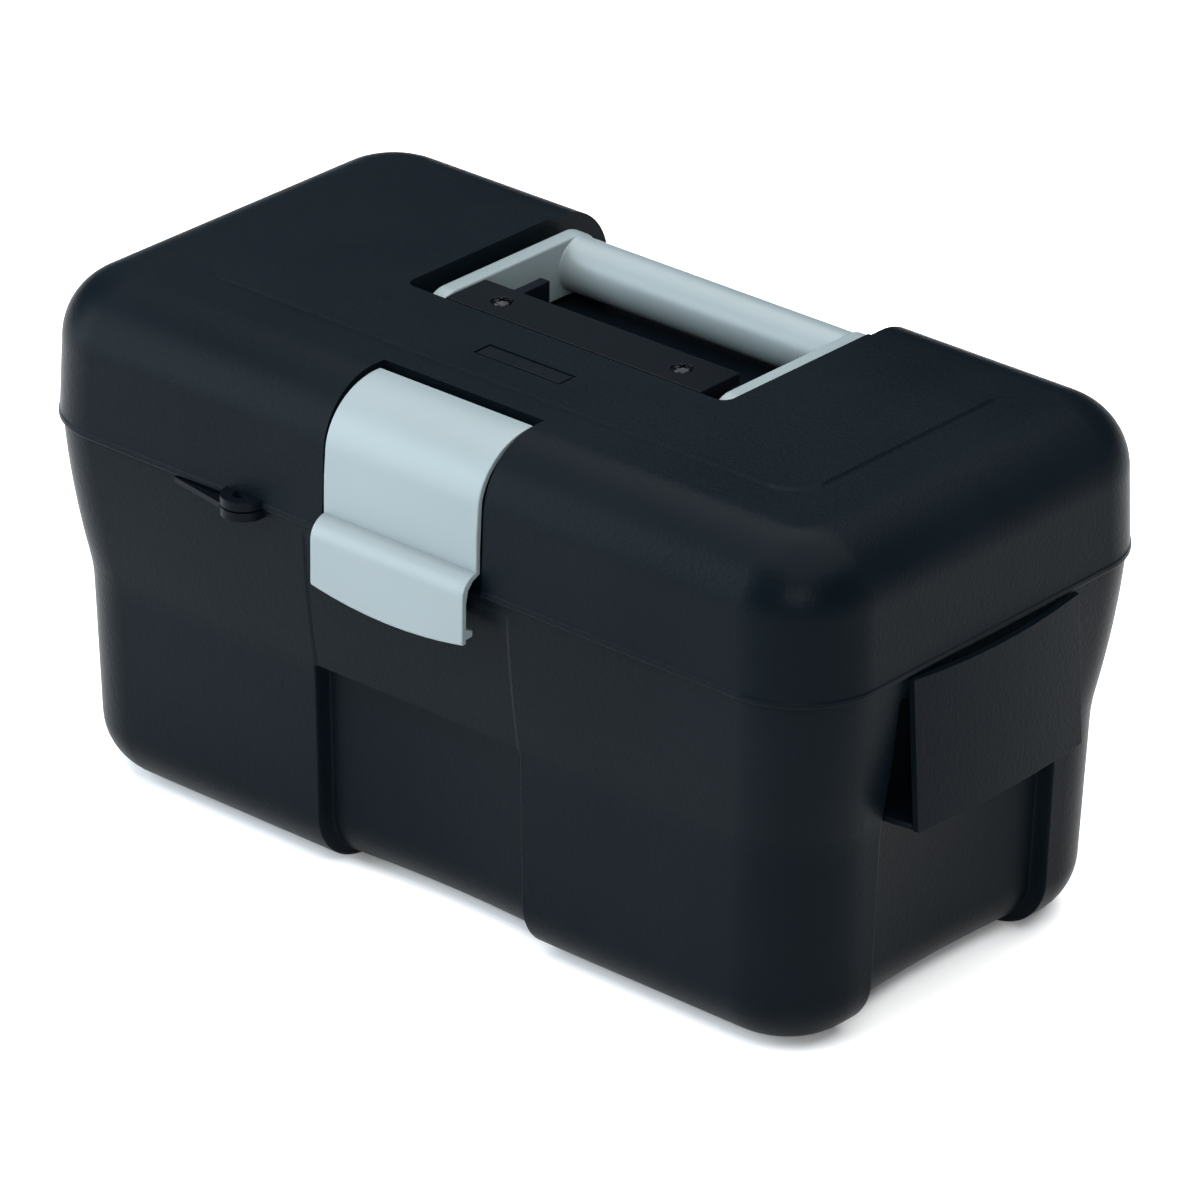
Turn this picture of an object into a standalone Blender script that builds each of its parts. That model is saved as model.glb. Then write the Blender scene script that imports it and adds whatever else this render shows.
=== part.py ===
"""Toolbox with a lift-out tray, a fold-flat carry handle and a front latch.

Metres, +Z up. The origin is on the floor under the middle of the box. +X runs along the box's
length, and the latch is on the -Y side. Each object is one physical piece in its closed position.
"""

import math

import bmesh
import bpy
from mathutils import Matrix, Vector

mm = 0.001
GAP = 0.3 * mm                 # clearance between pieces that touch on the real box
TUCK = 0.2 * mm                # how far a joined solid stays inside its neighbour's faces

# Shells
RIM_HALF_X = 165 * mm          # lid rim, the nominal outline of the box
RIM_HALF_Y = 87.7 * mm
RIM_CORNER = 30 * mm
WALL = 2.5 * mm
SEAM_Z = 127 * mm              # where the lid meets the body
TOP_Z = 177.7 * mm
LID_ROLL = 23 * mm             # rolled edge round the lid's top
LID_DRAFT = 0.065
BODY_INSET = 1.5 * mm          # the body's rim sits this far inside the lid's rim
KINK_Z = 74 * mm               # the walls flare above this height
FLARE_SLOPE = 0.055
FLARE_CURVE = 1.2              # per metre
LOWER_DRAFT = 0.03
FOOT_ROLL = 20 * mm            # rolled edge round the bottom
FOOT_CORNER = 9 * mm
LIP_RISE = 3.4 * mm            # sealing lip that stands up inside the lid
LIP_INSET = 2.9 * mm
CORNER_STEPS = 6
ROLL_STEPS = 6

# Recessed panels in the body's walls
RECESS_HALF_X = 43 * mm        # front and back
RECESS_HALF_Y = 43 * mm        # ends
RECESS_DEPTH = 5.4 * mm        # at its edges
RECESS_BOW = (0, 1, 1.25, 1.35, 1.25, 1, 0)   # share of that depth from edge to edge
RECESS_DRAFT = 1 * mm
RECESS_STEP = 1 * mm
RECESS_TOP_Z = 114 * mm        # the end recesses run up behind the brackets to here
RECESS_FADE = 6 * mm
FOOT_RECESS_SHARE = 0.6        # how much of the recesses is left on the underside

# End brackets
BRACKET_HALF_Y = 40.3 * mm
BRACKET_BOTTOM_Z = 75.5 * mm
BRACKET_TOP_Z = 126.2 * mm
BRACKET_DIP = 1.4 * mm         # the top edge is this much lower in the middle
BRACKET_BOTTOM_X = 169.5 * mm  # outer face at its two ends, which leans in towards the top
BRACKET_TOP_X = 166 * mm
BRACKET_BOW = 2 * mm           # how far the middle stands out past the ends
BRACKET_WALL = 2.2 * mm
SHELF_HALF_Y = 42.5 * mm       # the shelf under it, where it meets the recess

# Rear hinges
HINGE_Y = 91.6 * mm
HINGE_Z = SEAM_Z
HINGE_X = 96 * mm
KNUCKLE_R = 3.4 * mm
KNUCKLE_HALF = 5.6 * mm
KNUCKLE_GAP = 0.4 * mm
HINGE_PIN_R = 1.2 * mm
HINGE_BORE_R = 1.5 * mm

# Latch and its channel in the lid
CHANNEL_HALF_X = 33.2 * mm
CHANNEL_DEPTH = 3.8 * mm
SLOT_REAR_Y = -58.4 * mm
SLOT_FLOOR_Z = 163.4 * mm
LATCH_HALF_X = 31.8 * mm
LATCH_WALL = 2 * mm
LATCH_PROUD = 0.7 * mm         # past the lid at the front
LATCH_SINK = 2.6 * mm          # it drops by this much towards its top edge
LATCH_TOP_Y = -62 * mm
LATCH_PIVOT_Y = -67.5 * mm
LATCH_PIVOT_Z = 170.3 * mm
LATCH_PIN_R = 1.5 * mm
LATCH_BORE_R = 1.8 * mm
LATCH_KNUCKLE_R = 2.8 * mm
SHOULDER_Z = 135 * mm          # the lip of the latch starts here
LIP_PROUD = 6.3 * mm
LIP_BOTTOM_Z = 109 * mm
KEEPER_HALF_X = 24 * mm

# Padlock ears
EAR_X = -66.5 * mm
EAR_R = 7.5 * mm
EAR_Y = -87.5 * mm
EAR_HOLE_R = 2.8 * mm
EAR_WALL = 3 * mm
LEDGE_LENGTH = 30 * mm         # a wedge that runs left from the lower ear

# Handle and the recess it folds into
NOTCH_HALF_X = 66.5 * mm
NOTCH_FRONT_Y = -12.3 * mm
NOTCH_FLOOR_Z = 152.5 * mm
NOTCH_CORNER = 4 * mm
HANDLE_PIVOT_Y = 1 * mm
HANDLE_Z = 164 * mm
GRIP_Y = 60 * mm
GRIP_R = 9.3 * mm
GRIP_BORE_R = 5.3 * mm
ARM_R = 10 * mm
ARM_INNER_X = 56.5 * mm
ARM_WALL = 6 * mm
HANDLE_PIN_R = 3 * mm
RETAINER_HALF_X = 53 * mm
RETAINER_Y = (-8 * mm, 11 * mm)
RETAINER_TOP_Z = 175.5 * mm
RETAINER_WALL = 4 * mm
SCREW_X = 37.5 * mm
SCREW_Y = 1.5 * mm
SCREW_R = 1.5 * mm
SCREW_HEAD_R = 3.1 * mm
SCREW_HEAD_HEIGHT = 1.3 * mm
SCREW_LENGTH = 14 * mm

# Tray
TRAY_HALF_X = 145.5 * mm       # at its floor
TRAY_HALF_Y = 75 * mm
TRAY_FLOOR_Z = 77.1 * mm
TRAY_TOP_Z = 121 * mm
TRAY_WALL = 2 * mm
TRAY_CORNER = 16 * mm
TRAY_DRAFT = 0.05
TRAY_SPINE_Y = 6 * mm          # wall between the long front bay and the small rear bays
TRAY_SPINE_TOP_Z = 117 * mm
DIVIDER_WALL = 1.6 * mm
DIVIDER_X = (-92 * mm, -32 * mm, 32 * mm, 92 * mm)
TRAY_HANDLE_HALF_X = 52 * mm
TRAY_HANDLE_TOP_Z = 143 * mm
TRAY_HANDLE_R = 5 * mm

BLACK = (0.022, 0.027, 0.033)
GLOSS_BLACK = (0.012, 0.014, 0.018)
GREY = (0.47, 0.54, 0.56)
TRAY_GREY = (0.10, 0.115, 0.13)
STEEL = (0.60, 0.61, 0.62)
BLACK_STEEL = (0.035, 0.035, 0.038)


def clear_scene():
    for obj in list(bpy.data.objects):
        bpy.data.objects.remove(obj, do_unlink=True)


def make_collection(name):
    collection = bpy.data.collections.new(name)
    bpy.context.scene.collection.children.link(collection)
    return collection


def make_material(name, color, roughness, metallic=0.0):
    material = bpy.data.materials.new(name)
    material.use_nodes = True
    shader = material.node_tree.nodes["Principled BSDF"]
    shader.inputs["Base Color"].default_value = (*color, 1.0)
    shader.inputs["Roughness"].default_value = roughness
    shader.inputs["Metallic"].default_value = metallic
    return material


# ---------------------------------------------------------------- mesh helpers

def add_object(name, bm, material=None, origin=(0, 0, 0)):
    """Turn a bmesh in world coordinates into an object. Without a material it is a helper solid."""
    bmesh.ops.transform(bm, matrix=Matrix.Translation(-Vector(origin)), verts=bm.verts)
    mesh = bpy.data.meshes.new(name)
    bm.to_mesh(mesh)
    bm.free()
    obj = bpy.data.objects.new(name, mesh)
    obj.location = origin
    if material:
        parts.objects.link(obj)
        mesh.materials.append(material)
        mesh.shade_smooth()
        mesh.set_sharp_from_angle(angle=math.radians(32))
    else:
        cutters.objects.link(obj)
        obj.hide_render = True
        obj.display_type = "WIRE"
    return obj


def boolean(obj, other, operation):
    modifier = obj.modifiers.new(operation.title(), "BOOLEAN")
    modifier.operation = operation
    modifier.solver = "EXACT"
    modifier.object = other


def cut(obj, *others):
    for other in others:
        boolean(obj, other, "DIFFERENCE")


def join(obj, *others):
    for other in others:
        boolean(obj, other, "UNION")


def box(lo, hi):
    """A cube primitive stretched to fill the space between two corners."""
    bm = bmesh.new()
    bmesh.ops.create_cube(bm, size=1.0)
    lo, hi = Vector(lo), Vector(hi)
    size = Matrix.Diagonal((*(hi - lo), 1.0))
    bmesh.ops.transform(bm, matrix=Matrix.Translation((lo + hi) / 2) @ size, verts=bm.verts)
    return bm


def rod_x(y, z, radius, x0, x1, segments=20):
    """A cylinder along X."""
    bm = bmesh.new()
    bmesh.ops.create_cone(bm, cap_ends=True, segments=segments, radius1=radius, radius2=radius, depth=x1 - x0)
    turn = Matrix.Rotation(math.pi / 2, 4, "Y")
    bmesh.ops.transform(bm, matrix=Matrix.Translation(((x0 + x1) / 2, y, z)) @ turn, verts=bm.verts)
    return bm


def rod_z(x, y, radius, z0, z1, segments=20):
    """A cylinder along Z."""
    bm = bmesh.new()
    bmesh.ops.create_cone(bm, cap_ends=True, segments=segments, radius1=radius, radius2=radius, depth=z1 - z0)
    bmesh.ops.transform(bm, matrix=Matrix.Translation((x, y, (z0 + z1) / 2)), verts=bm.verts)
    return bm


def arc(cx, cy, radius, start, end, steps):
    """Points on an arc, its angles in degrees."""
    angles = [math.radians(start + (end - start) * i / steps) for i in range(steps + 1)]
    return [(cx + radius * math.cos(a), cy + radius * math.sin(a)) for a in angles]


def prism(outline, place, low, high):
    """Extrude a closed outline. place(u, v, w) maps the outline's u, v and the extrusion w to XYZ."""
    bm = bmesh.new()
    face = bm.faces.new([bm.verts.new(place(u, v, low)) for u, v in outline])
    swept = bmesh.ops.extrude_face_region(bm, geom=[face])
    moved = [item for item in swept["geom"] if isinstance(item, bmesh.types.BMVert)]
    shift = Vector(place(0, 0, high)) - Vector(place(0, 0, low))
    bmesh.ops.translate(bm, verts=moved, vec=shift)
    bmesh.ops.recalc_face_normals(bm, faces=bm.faces)
    return bm


def along_x(u, v, w):
    return (w, u, v)


def along_z(u, v, w):
    return (u, v, w)


def loft(rings, cap_low=True, cap_high=True):
    """Skin a stack of rings that all have the same number of points."""
    bm = bmesh.new()
    rows = [[bm.verts.new(point) for point in ring] for ring in rings]
    for lower, upper in zip(rows, rows[1:]):
        for i in range(len(lower)):
            j = (i + 1) % len(lower)
            bm.faces.new((lower[i], lower[j], upper[j], upper[i]))
    bmesh.ops.triangulate(bm, faces=bm.faces)
    if cap_low:
        bm.faces.new(rows[0][::-1])
    if cap_high:
        bm.faces.new(rows[-1])
    return bm


def rounded_outline(half_x, half_y, radius, steps=CORNER_STEPS):
    """A rounded rectangle, anticlockwise from the -Y side's right end."""
    points = []
    for index, (sx, sy) in enumerate(((1, -1), (1, 1), (-1, 1), (-1, -1))):
        cx, cy = sx * (half_x - radius), sy * (half_y - radius)
        points += arc(cx, cy, radius, index * 90 - 90, index * 90, steps)
    return points


# ---------------------------------------------------------------- body

def body_inset(z, wall=0.0):
    """How far the wall's outside, or with a wall thickness its inside, lies within the lid's rim."""
    height = max(SEAM_Z - z, 0)
    flared = min(height, SEAM_Z - KINK_Z)
    inset = wall + BODY_INSET + FLARE_SLOPE * flared + FLARE_CURVE * flared ** 2
    inset += LOWER_DRAFT * (height - flared)
    roll = FOOT_ROLL - wall
    if z < FOOT_ROLL:
        inset += roll - math.sqrt(max(roll ** 2 - (FOOT_ROLL - z) ** 2, 0))
    return inset


def recess_stations(half_width):
    """Places across one recess, with the share of its depth at each."""
    inner = half_width - RECESS_DRAFT
    marks = (-half_width, -inner, -inner / 2, 0, inner / 2, inner, half_width)
    return list(zip(marks, RECESS_BOW))


def body_ring(z, front_share, end_share, wall=0.0, extra=0.0):
    """One closed section of the body, with the four recessed panels pushed in."""
    inset = body_inset(z, wall) + extra
    half_x, half_y = RIM_HALF_X - inset, RIM_HALF_Y - inset
    rise = min(1.0, (z - wall) / (FOOT_ROLL - wall))
    radius = FOOT_CORNER + (RIM_CORNER - BODY_INSET - FOOT_CORNER) * math.sqrt(1 - (1 - rise) ** 2)
    radius -= (wall + extra) * 0.9
    ring = []
    sides = (
        (1, -1, RECESS_HALF_Y, end_share),
        (1, 1, RECESS_HALF_X, front_share),
        (-1, 1, RECESS_HALF_Y, end_share),
        (-1, -1, RECESS_HALF_X, front_share),
    )
    for index, (sx, sy, half_width, share) in enumerate(sides):
        cx, cy = sx * (half_x - radius), sy * (half_y - radius)
        ring += [(x, y, z) for x, y in arc(cx, cy, radius, index * 90 - 90, index * 90, CORNER_STEPS)]
        depth = share * RECESS_DEPTH
        for mark, part_depth in recess_stations(half_width + wall):
            along = mark if index in (0, 3) else -mark
            if index % 2 == 0:
                ring.append((sx * (half_x - part_depth * depth), along, z))
            else:
                ring.append((along, sy * (half_y - part_depth * depth), z))
    return ring


def body_rings(wall=0.0):
    """Sections of the body from its floor to the sealing lip, for its outside or its inside."""
    rows = []
    roll = FOOT_ROLL - wall
    for step in range(ROLL_STEPS + 1):
        angle = math.radians(90 * step / ROLL_STEPS)
        share = FOOT_RECESS_SHARE if step == 0 else 1
        rows.append((FOOT_ROLL - roll * math.cos(angle), share, share, 0))
    rows.append((KINK_Z + wall, 1, 1, 0))
    rows.append((KINK_Z + wall + RECESS_STEP, 0, 1, 0))
    rows += [(z, 0, 1, 0) for z in (90 * mm, 103 * mm, RECESS_TOP_Z + wall)]
    rows.append((RECESS_TOP_Z + wall + RECESS_FADE, 0, 0, 0))
    lip = LIP_INSET - BODY_INSET
    if wall:
        rows.append((SEAM_Z - 2 * mm, 0, 0, lip))
        rows.append((SEAM_Z + LIP_RISE + 3 * mm, 0, 0, lip))
    else:
        rows.append((SEAM_Z - 0.2 * mm, 0, 0, 0))
        rows.append((SEAM_Z - 0.1 * mm, 0, 0, lip))
        rows.append((SEAM_Z + LIP_RISE, 0, 0, lip))
    return [body_ring(z, front, end, wall, extra) for z, front, end, extra in rows]


def bracket_sections(side):
    """Upright sections of one end bracket, a thin plate that leans and bows outwards."""
    sections = []
    for step in range(7):
        along = -1 + step / 3
        middle = 1 - along ** 2
        y = along * BRACKET_HALF_Y
        low_x, high_x = BRACKET_BOTTOM_X + BRACKET_BOW * middle, BRACKET_TOP_X + BRACKET_BOW * middle
        high_z = BRACKET_TOP_Z - BRACKET_DIP * middle
        sections.append([
            (side * low_x, y, BRACKET_BOTTOM_Z), (side * high_x, y, high_z),
            (side * (high_x - BRACKET_WALL), y, high_z), (side * (low_x - BRACKET_WALL), y, BRACKET_BOTTOM_Z),
        ])
    return sections


def end_brackets():
    """The two plates on the box's ends, each on a shelf that joins it to the wall."""
    solids = []
    wall_x = RIM_HALF_X - body_inset(BRACKET_BOTTOM_Z) - max(RECESS_BOW) * RECESS_DEPTH - WALL / 2
    trim = (BRACKET_HALF_Y - TUCK) / BRACKET_HALF_Y
    for side, name in ((1, "right"), (-1, "left")):
        sections = bracket_sections(side)
        shelf = [(section[0][0] - side * BRACKET_WALL / 2, section[0][1] * trim) for section in sections]
        shelf += [(side * wall_x, SHELF_HALF_Y), (side * wall_x, -SHELF_HALF_Y)]
        solids.append(add_object(f"bracket_shelf_{name}", prism(
            shelf, along_z, BRACKET_BOTTOM_Z + TUCK, BRACKET_BOTTOM_Z + BRACKET_WALL)))
        plate = loft(sections)
        bmesh.ops.recalc_face_normals(plate, faces=plate.faces)
        solids.append(add_object(f"bracket_plate_{name}", plate))
    return solids


def body_knuckles():
    """Two knuckles a side, on tabs that reach out from the rear wall."""
    solids = []
    for side in (-1, 1):
        for offset in (-1, 1):
            middle = side * HINGE_X + offset * 2 * (KNUCKLE_HALF + KNUCKLE_GAP / 2)
            x0, x1 = middle - KNUCKLE_HALF, middle + KNUCKLE_HALF
            name = f"{'right' if side > 0 else 'left'}_{'outer' if offset * side > 0 else 'inner'}"
            tab_low = (x0 + TUCK, RIM_HALF_Y - 3 * mm, SEAM_Z - 5 * mm)
            tab = box(tab_low, (x1 - TUCK, HINGE_Y, SEAM_Z - 0.6 * mm))
            solids.append(add_object(f"body_tab_{name}", tab))
            solids.append(add_object(f"body_knuckle_{name}", rod_x(HINGE_Y, HINGE_Z, KNUCKLE_R, x0, x1)))
    return solids


def hinge_bores(owner):
    solids = []
    for side, name in ((-1, "left"), (1, "right")):
        middle = side * HINGE_X
        reach = 3.5 * KNUCKLE_HALF
        bore = rod_x(HINGE_Y, HINGE_Z, HINGE_BORE_R, middle - reach, middle + reach, 16)
        solids.append(add_object(f"{owner}_bore_{name}", bore))
    return solids


def ear_outline(base_y):
    """Half-round ear in plan, from the wall outwards."""
    return [(EAR_X - EAR_R, base_y)] + arc(EAR_X, EAR_Y, EAR_R, 180, 360, 10) + [(EAR_X + EAR_R, base_y)]


def make_body():
    shell = add_object("body_shell", loft(body_rings()), black)
    cut(shell, add_object("body_inside", loft(body_rings(WALL))))
    join(shell, *end_brackets(), *body_knuckles())

    top = SEAM_Z - 0.4 * mm
    wall_y = -RIM_HALF_Y + body_inset(SEAM_Z - EAR_WALL) + WALL / 2
    join(shell, add_object("body_ear", prism(ear_outline(wall_y), along_z, top - EAR_WALL, top)))
    ledge_x0, ledge_x1 = EAR_X - LEDGE_LENGTH, EAR_X - 2 * mm
    ledge = [(ledge_x0, wall_y), (ledge_x0, EAR_Y), (ledge_x1, EAR_Y - 5 * mm), (ledge_x1, wall_y)]
    join(shell, add_object("body_ledge", prism(ledge, along_z, top - 2 * mm, top - TUCK)))
    keeper_y = -RIM_HALF_Y - 0.6 * mm
    keeper = box((-KEEPER_HALF_X, keeper_y, 117 * mm), (KEEPER_HALF_X, wall_y, 121 * mm))
    join(shell, add_object("latch_keeper", keeper))

    ear_hole = rod_z(EAR_X, EAR_Y - 1 * mm, EAR_HOLE_R, top - 5 * mm, top + 5 * mm, 16)
    cut(shell, add_object("body_ear_hole", ear_hole), *hinge_bores("body"))
    lip_gap = box((-CHANNEL_HALF_X - 3.5 * mm, -RIM_HALF_Y - 3 * mm, SEAM_Z), (
        CHANNEL_HALF_X + 3.5 * mm, -RIM_HALF_Y + 12 * mm, SEAM_Z + 2 * LIP_RISE))
    cut(shell, add_object("lip_gap", lip_gap))


# ---------------------------------------------------------------- lid

def lid_rings(inset, bottom, top):
    """Sections of the lid's outside, or with an inset of its inside, from the rim to the top."""
    rows = [(bottom, 0.0)]
    roll = LID_ROLL - inset
    start = top - roll
    for step in range(ROLL_STEPS + 1):
        angle = math.radians(90 * step / ROLL_STEPS)
        rows.append((start + roll * math.sin(angle), roll * (1 - math.cos(angle))))
    rings = []
    for z, shrink in rows:
        draft = LID_DRAFT * (min(max(z, SEAM_Z), start) - SEAM_Z) / 2
        total = inset + shrink + draft
        radius = max(RIM_CORNER - inset - shrink, 5 * mm)
        outline = rounded_outline(RIM_HALF_X - total, RIM_HALF_Y - total, radius)
        rings.append([(x, y, z) for x, y in outline])
    return rings


def channel_outline(grow):
    """Side view of the latch's channel: a slot in the lid's top, then a step that follows the roll."""
    roll_y = -(RIM_HALF_Y - LID_ROLL - 1 * mm)
    roll_z = TOP_Z - LID_ROLL
    radius = LID_ROLL - CHANNEL_DEPTH - grow
    floor = SLOT_FLOOR_Z - grow
    start = 180 - math.degrees(math.asin((floor - roll_z) / radius))
    curve = arc(roll_y, roll_z, radius, start, 180, 5)
    outside_y, outside_z = -0.12, TOP_Z + 20 * mm
    return [
        (SLOT_REAR_Y + grow, outside_z), (SLOT_REAR_Y + grow, floor), *curve,
        (roll_y - radius - 1 * mm, SEAM_Z - 20 * mm), (outside_y, SEAM_Z - 20 * mm), (outside_y, outside_z),
    ]


def lid_openings(grow, owner):
    """The latch channel and the handle's recess, grown by the wall when they shape the inside."""
    half = CHANNEL_HALF_X + grow
    channel = prism(channel_outline(grow), along_x, -half, half)
    half_x, front = NOTCH_HALF_X + grow, NOTCH_FRONT_Y - grow
    rear = 0.13
    radius = NOTCH_CORNER + grow
    outline = arc(half_x - radius, front + radius, radius, -90, 0, 4)
    outline += [(half_x, rear), (-half_x, rear)]
    outline += arc(-half_x + radius, front + radius, radius, 180, 270, 4)
    notch = prism(outline, along_z, NOTCH_FLOOR_Z - grow, TOP_Z + 20 * mm)
    return add_object(f"{owner}_channel", channel), add_object(f"{owner}_notch", notch)


def latch_cheeks():
    """Two lugs in the slot that hold the ends of the latch's pin."""
    solids = []
    for side, name in ((-1, "left"), (1, "right")):
        x0, x1 = sorted((side * (LATCH_HALF_X - 2.5 * mm), side * (CHANNEL_HALF_X + 0.5 * mm)))
        lug = rod_x(LATCH_PIVOT_Y, LATCH_PIVOT_Z, LATCH_KNUCKLE_R - 0.1 * mm, x0, x1, 16)
        post = box((x0 + TUCK, LATCH_PIVOT_Y - 2.5 * mm, SLOT_FLOOR_Z - 1 * mm), (
            x1 - TUCK, LATCH_PIVOT_Y + 1 * mm, LATCH_PIVOT_Z - TUCK))
        cheek = add_object(f"latch_lug_{name}", lug)
        join(cheek, add_object(f"latch_post_{name}", post))
        reach = LATCH_HALF_X + 0.6 * mm
        hole = rod_x(LATCH_PIVOT_Y, LATCH_PIVOT_Z, LATCH_BORE_R, -reach, reach, 14)
        cut(cheek, add_object(f"latch_pin_hole_{name}", hole))
        solids.append(cheek)
    return solids


def retainer_posts():
    """Saddles under the handle's pins, and taller posts that take the retainer's screws."""
    solids = []
    low = NOTCH_FLOOR_Z - 1 * mm
    for side, name in ((-1, "left"), (1, "right")):
        x0, x1 = sorted((side * (RETAINER_HALF_X - 9 * mm), side * (RETAINER_HALF_X + 1 * mm)))
        saddle = box((x0, -6 * mm, low), (x1, 8 * mm, HANDLE_Z - HANDLE_PIN_R - GAP))
        solids.append(add_object(f"pin_saddle_{name}", saddle))
        x = side * SCREW_X
        post = box((x - 4.5 * mm, SCREW_Y - 4.5 * mm, low), (
            x + 4.5 * mm, SCREW_Y + 4.5 * mm, RETAINER_TOP_Z - RETAINER_WALL - GAP))
        screw_post = add_object(f"screw_post_{name}", post)
        cut(screw_post, screw_hole(f"lid_screw_hole_{name}", x))
        solids.append(screw_post)
    return solids


def screw_hole(name, x):
    hole = rod_z(x, SCREW_Y, SCREW_R + GAP, NOTCH_FLOOR_Z + 5 * mm, TOP_Z + 5 * mm, 14)
    return add_object(name, hole)


def make_lid():
    rim = SEAM_Z + 0.2 * mm
    shell = add_object("lid_shell", loft(lid_rings(0, rim, TOP_Z)), black, (0, HINGE_Y, HINGE_Z))
    cut(shell, *lid_openings(0, "lid"))
    inside = add_object("lid_inside", loft(lid_rings(WALL, rim - 10 * mm, TOP_Z - WALL)))
    cut(inside, *lid_openings(WALL, "inside"))
    cut(shell, inside)
    join(shell, *latch_cheeks(), *retainer_posts())

    for side, name in ((-1, "left"), (1, "right")):
        x0, x1 = side * HINGE_X - KNUCKLE_HALF, side * HINGE_X + KNUCKLE_HALF
        tab_low = (x0 + TUCK, RIM_HALF_Y - 1.5 * mm, SEAM_Z + 0.6 * mm)
        tab = box(tab_low, (x1 - TUCK, HINGE_Y, SEAM_Z + 2.9 * mm))
        knuckle = rod_x(HINGE_Y, HINGE_Z, KNUCKLE_R, x0, x1)
        join(shell, add_object(f"lid_tab_{name}", tab), add_object(f"lid_knuckle_{name}", knuckle))

    ear = prism(ear_outline(-RIM_HALF_Y + WALL / 2), along_z, rim, rim + EAR_WALL)
    join(shell, add_object("lid_ear", ear))
    ear_hole = rod_z(EAR_X, EAR_Y - 1 * mm, EAR_HOLE_R, rim - 2 * mm, rim + 8 * mm, 16)
    cut(shell, add_object("lid_ear_hole", ear_hole), *hinge_bores("lid"))


# ---------------------------------------------------------------- latch

def latch_curve(start, depth, steps=8):
    """The latch's curve over the lid's roll in side view, from its top edge to the front."""
    roll_y = -(RIM_HALF_Y - LID_ROLL - 1 * mm)
    roll_z = TOP_Z - LID_ROLL
    points = []
    for step in range(steps + 1):
        angle = math.radians(start + (180 - start) * step / steps)
        radius = LID_ROLL + LATCH_PROUD - LATCH_SINK * math.sin(angle) ** 2 - depth
        points.append((roll_y + radius * math.cos(angle), roll_z + radius * math.sin(angle)))
    return points


def latch_outline():
    """Side view of the latch: over the roll, down the skirt, and out to the finger lip."""
    roll_y = -(RIM_HALF_Y - LID_ROLL - 1 * mm)
    start = 90 - math.degrees(math.asin((LATCH_TOP_Y - roll_y) / LID_ROLL))
    face_y = roll_y - LID_ROLL - LATCH_PROUD - 0.6 * mm
    lip_y = face_y - LIP_PROUD
    outer = latch_curve(start, 0)
    outer += [(face_y, SHOULDER_Z), *arc(lip_y + 3.5 * mm, SHOULDER_Z - 5 * mm, 3.5 * mm, 100, 180, 3)]
    outer += [(lip_y, LIP_BOTTOM_Z)]
    inner = [(lip_y + LATCH_WALL, LIP_BOTTOM_Z), (lip_y + LATCH_WALL, 113 * mm)]
    inner += [(lip_y + 5 * mm, 113 * mm), (lip_y + 5 * mm, 116 * mm), (lip_y + LATCH_WALL, 116 * mm)]
    inner += [(lip_y + LATCH_WALL, SHOULDER_Z - 5 * mm), (face_y + LATCH_WALL, SHOULDER_Z - 2 * mm)]
    inner += latch_curve(start, LATCH_WALL)[::-1]
    return outer + inner


def make_latch():
    pivot = (0, LATCH_PIVOT_Y, LATCH_PIVOT_Z)
    plate = prism(latch_outline(), along_x, -LATCH_HALF_X, LATCH_HALF_X)
    latch = add_object("latch", plate, grey, pivot)
    half = LATCH_HALF_X - 2.5 * mm - 0.4 * mm
    web = box((-half, LATCH_PIVOT_Y - 2 * mm, LATCH_PIVOT_Z), (
        half, LATCH_PIVOT_Y + 2 * mm, LATCH_PIVOT_Z + 3.9 * mm))
    knuckle = rod_x(LATCH_PIVOT_Y, LATCH_PIVOT_Z, LATCH_KNUCKLE_R, -half, half, 16)
    join(latch, add_object("latch_web", web), add_object("latch_knuckle", knuckle))
    bore = rod_x(LATCH_PIVOT_Y, LATCH_PIVOT_Z, LATCH_BORE_R, -half - 2 * mm, half + 2 * mm, 14)
    cut(latch, add_object("latch_bore", bore))
    pin_half = LATCH_HALF_X + 0.3 * mm
    pin = rod_x(LATCH_PIVOT_Y, LATCH_PIVOT_Z, LATCH_PIN_R, -pin_half, pin_half, 14)
    add_object("latch_pin", pin, steel, pivot)


# ---------------------------------------------------------------- handle

def make_handle():
    pivot = (0, HANDLE_PIVOT_Y, HANDLE_Z)
    outline = arc(GRIP_Y, HANDLE_Z, ARM_R, -90, 90, 10) + arc(HANDLE_PIVOT_Y, HANDLE_Z, ARM_R, 90, 270, 10)
    for side, name in ((-1, "left"), (1, "right")):
        x0, x1 = sorted((side * ARM_INNER_X, side * (ARM_INNER_X + ARM_WALL)))
        arm = add_object(f"handle_arm_{name}", prism(outline, along_x, x0, x1), grey, pivot)
        s0, s1 = sorted((side * (ARM_INNER_X - 9 * mm), side * (ARM_INNER_X + 1 * mm)))
        spigot = rod_x(GRIP_Y, HANDLE_Z, GRIP_BORE_R - GAP, s0, s1)
        join(arm, add_object(f"arm_spigot_{name}", spigot))
        hole = rod_x(HANDLE_PIVOT_Y, HANDLE_Z, HANDLE_PIN_R + GAP, x0 - 1 * mm, x1 + 1 * mm)
        cut(arm, add_object(f"arm_hole_{name}", hole))
        p0, p1 = sorted((side * (RETAINER_HALF_X - 8 * mm), side * (ARM_INNER_X + ARM_WALL + 1 * mm)))
        pin = rod_x(HANDLE_PIVOT_Y, HANDLE_Z, HANDLE_PIN_R, p0, p1)
        add_object(f"handle_pin_{name}", pin, steel, pivot)

    half = ARM_INNER_X - GAP
    grip = add_object("handle_grip", rod_x(GRIP_Y, HANDLE_Z, GRIP_R, -half, half, 28), grey, pivot)
    cut(grip, add_object("grip_bore", rod_x(GRIP_Y, HANDLE_Z, GRIP_BORE_R, -2 * half, 2 * half)))


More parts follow.
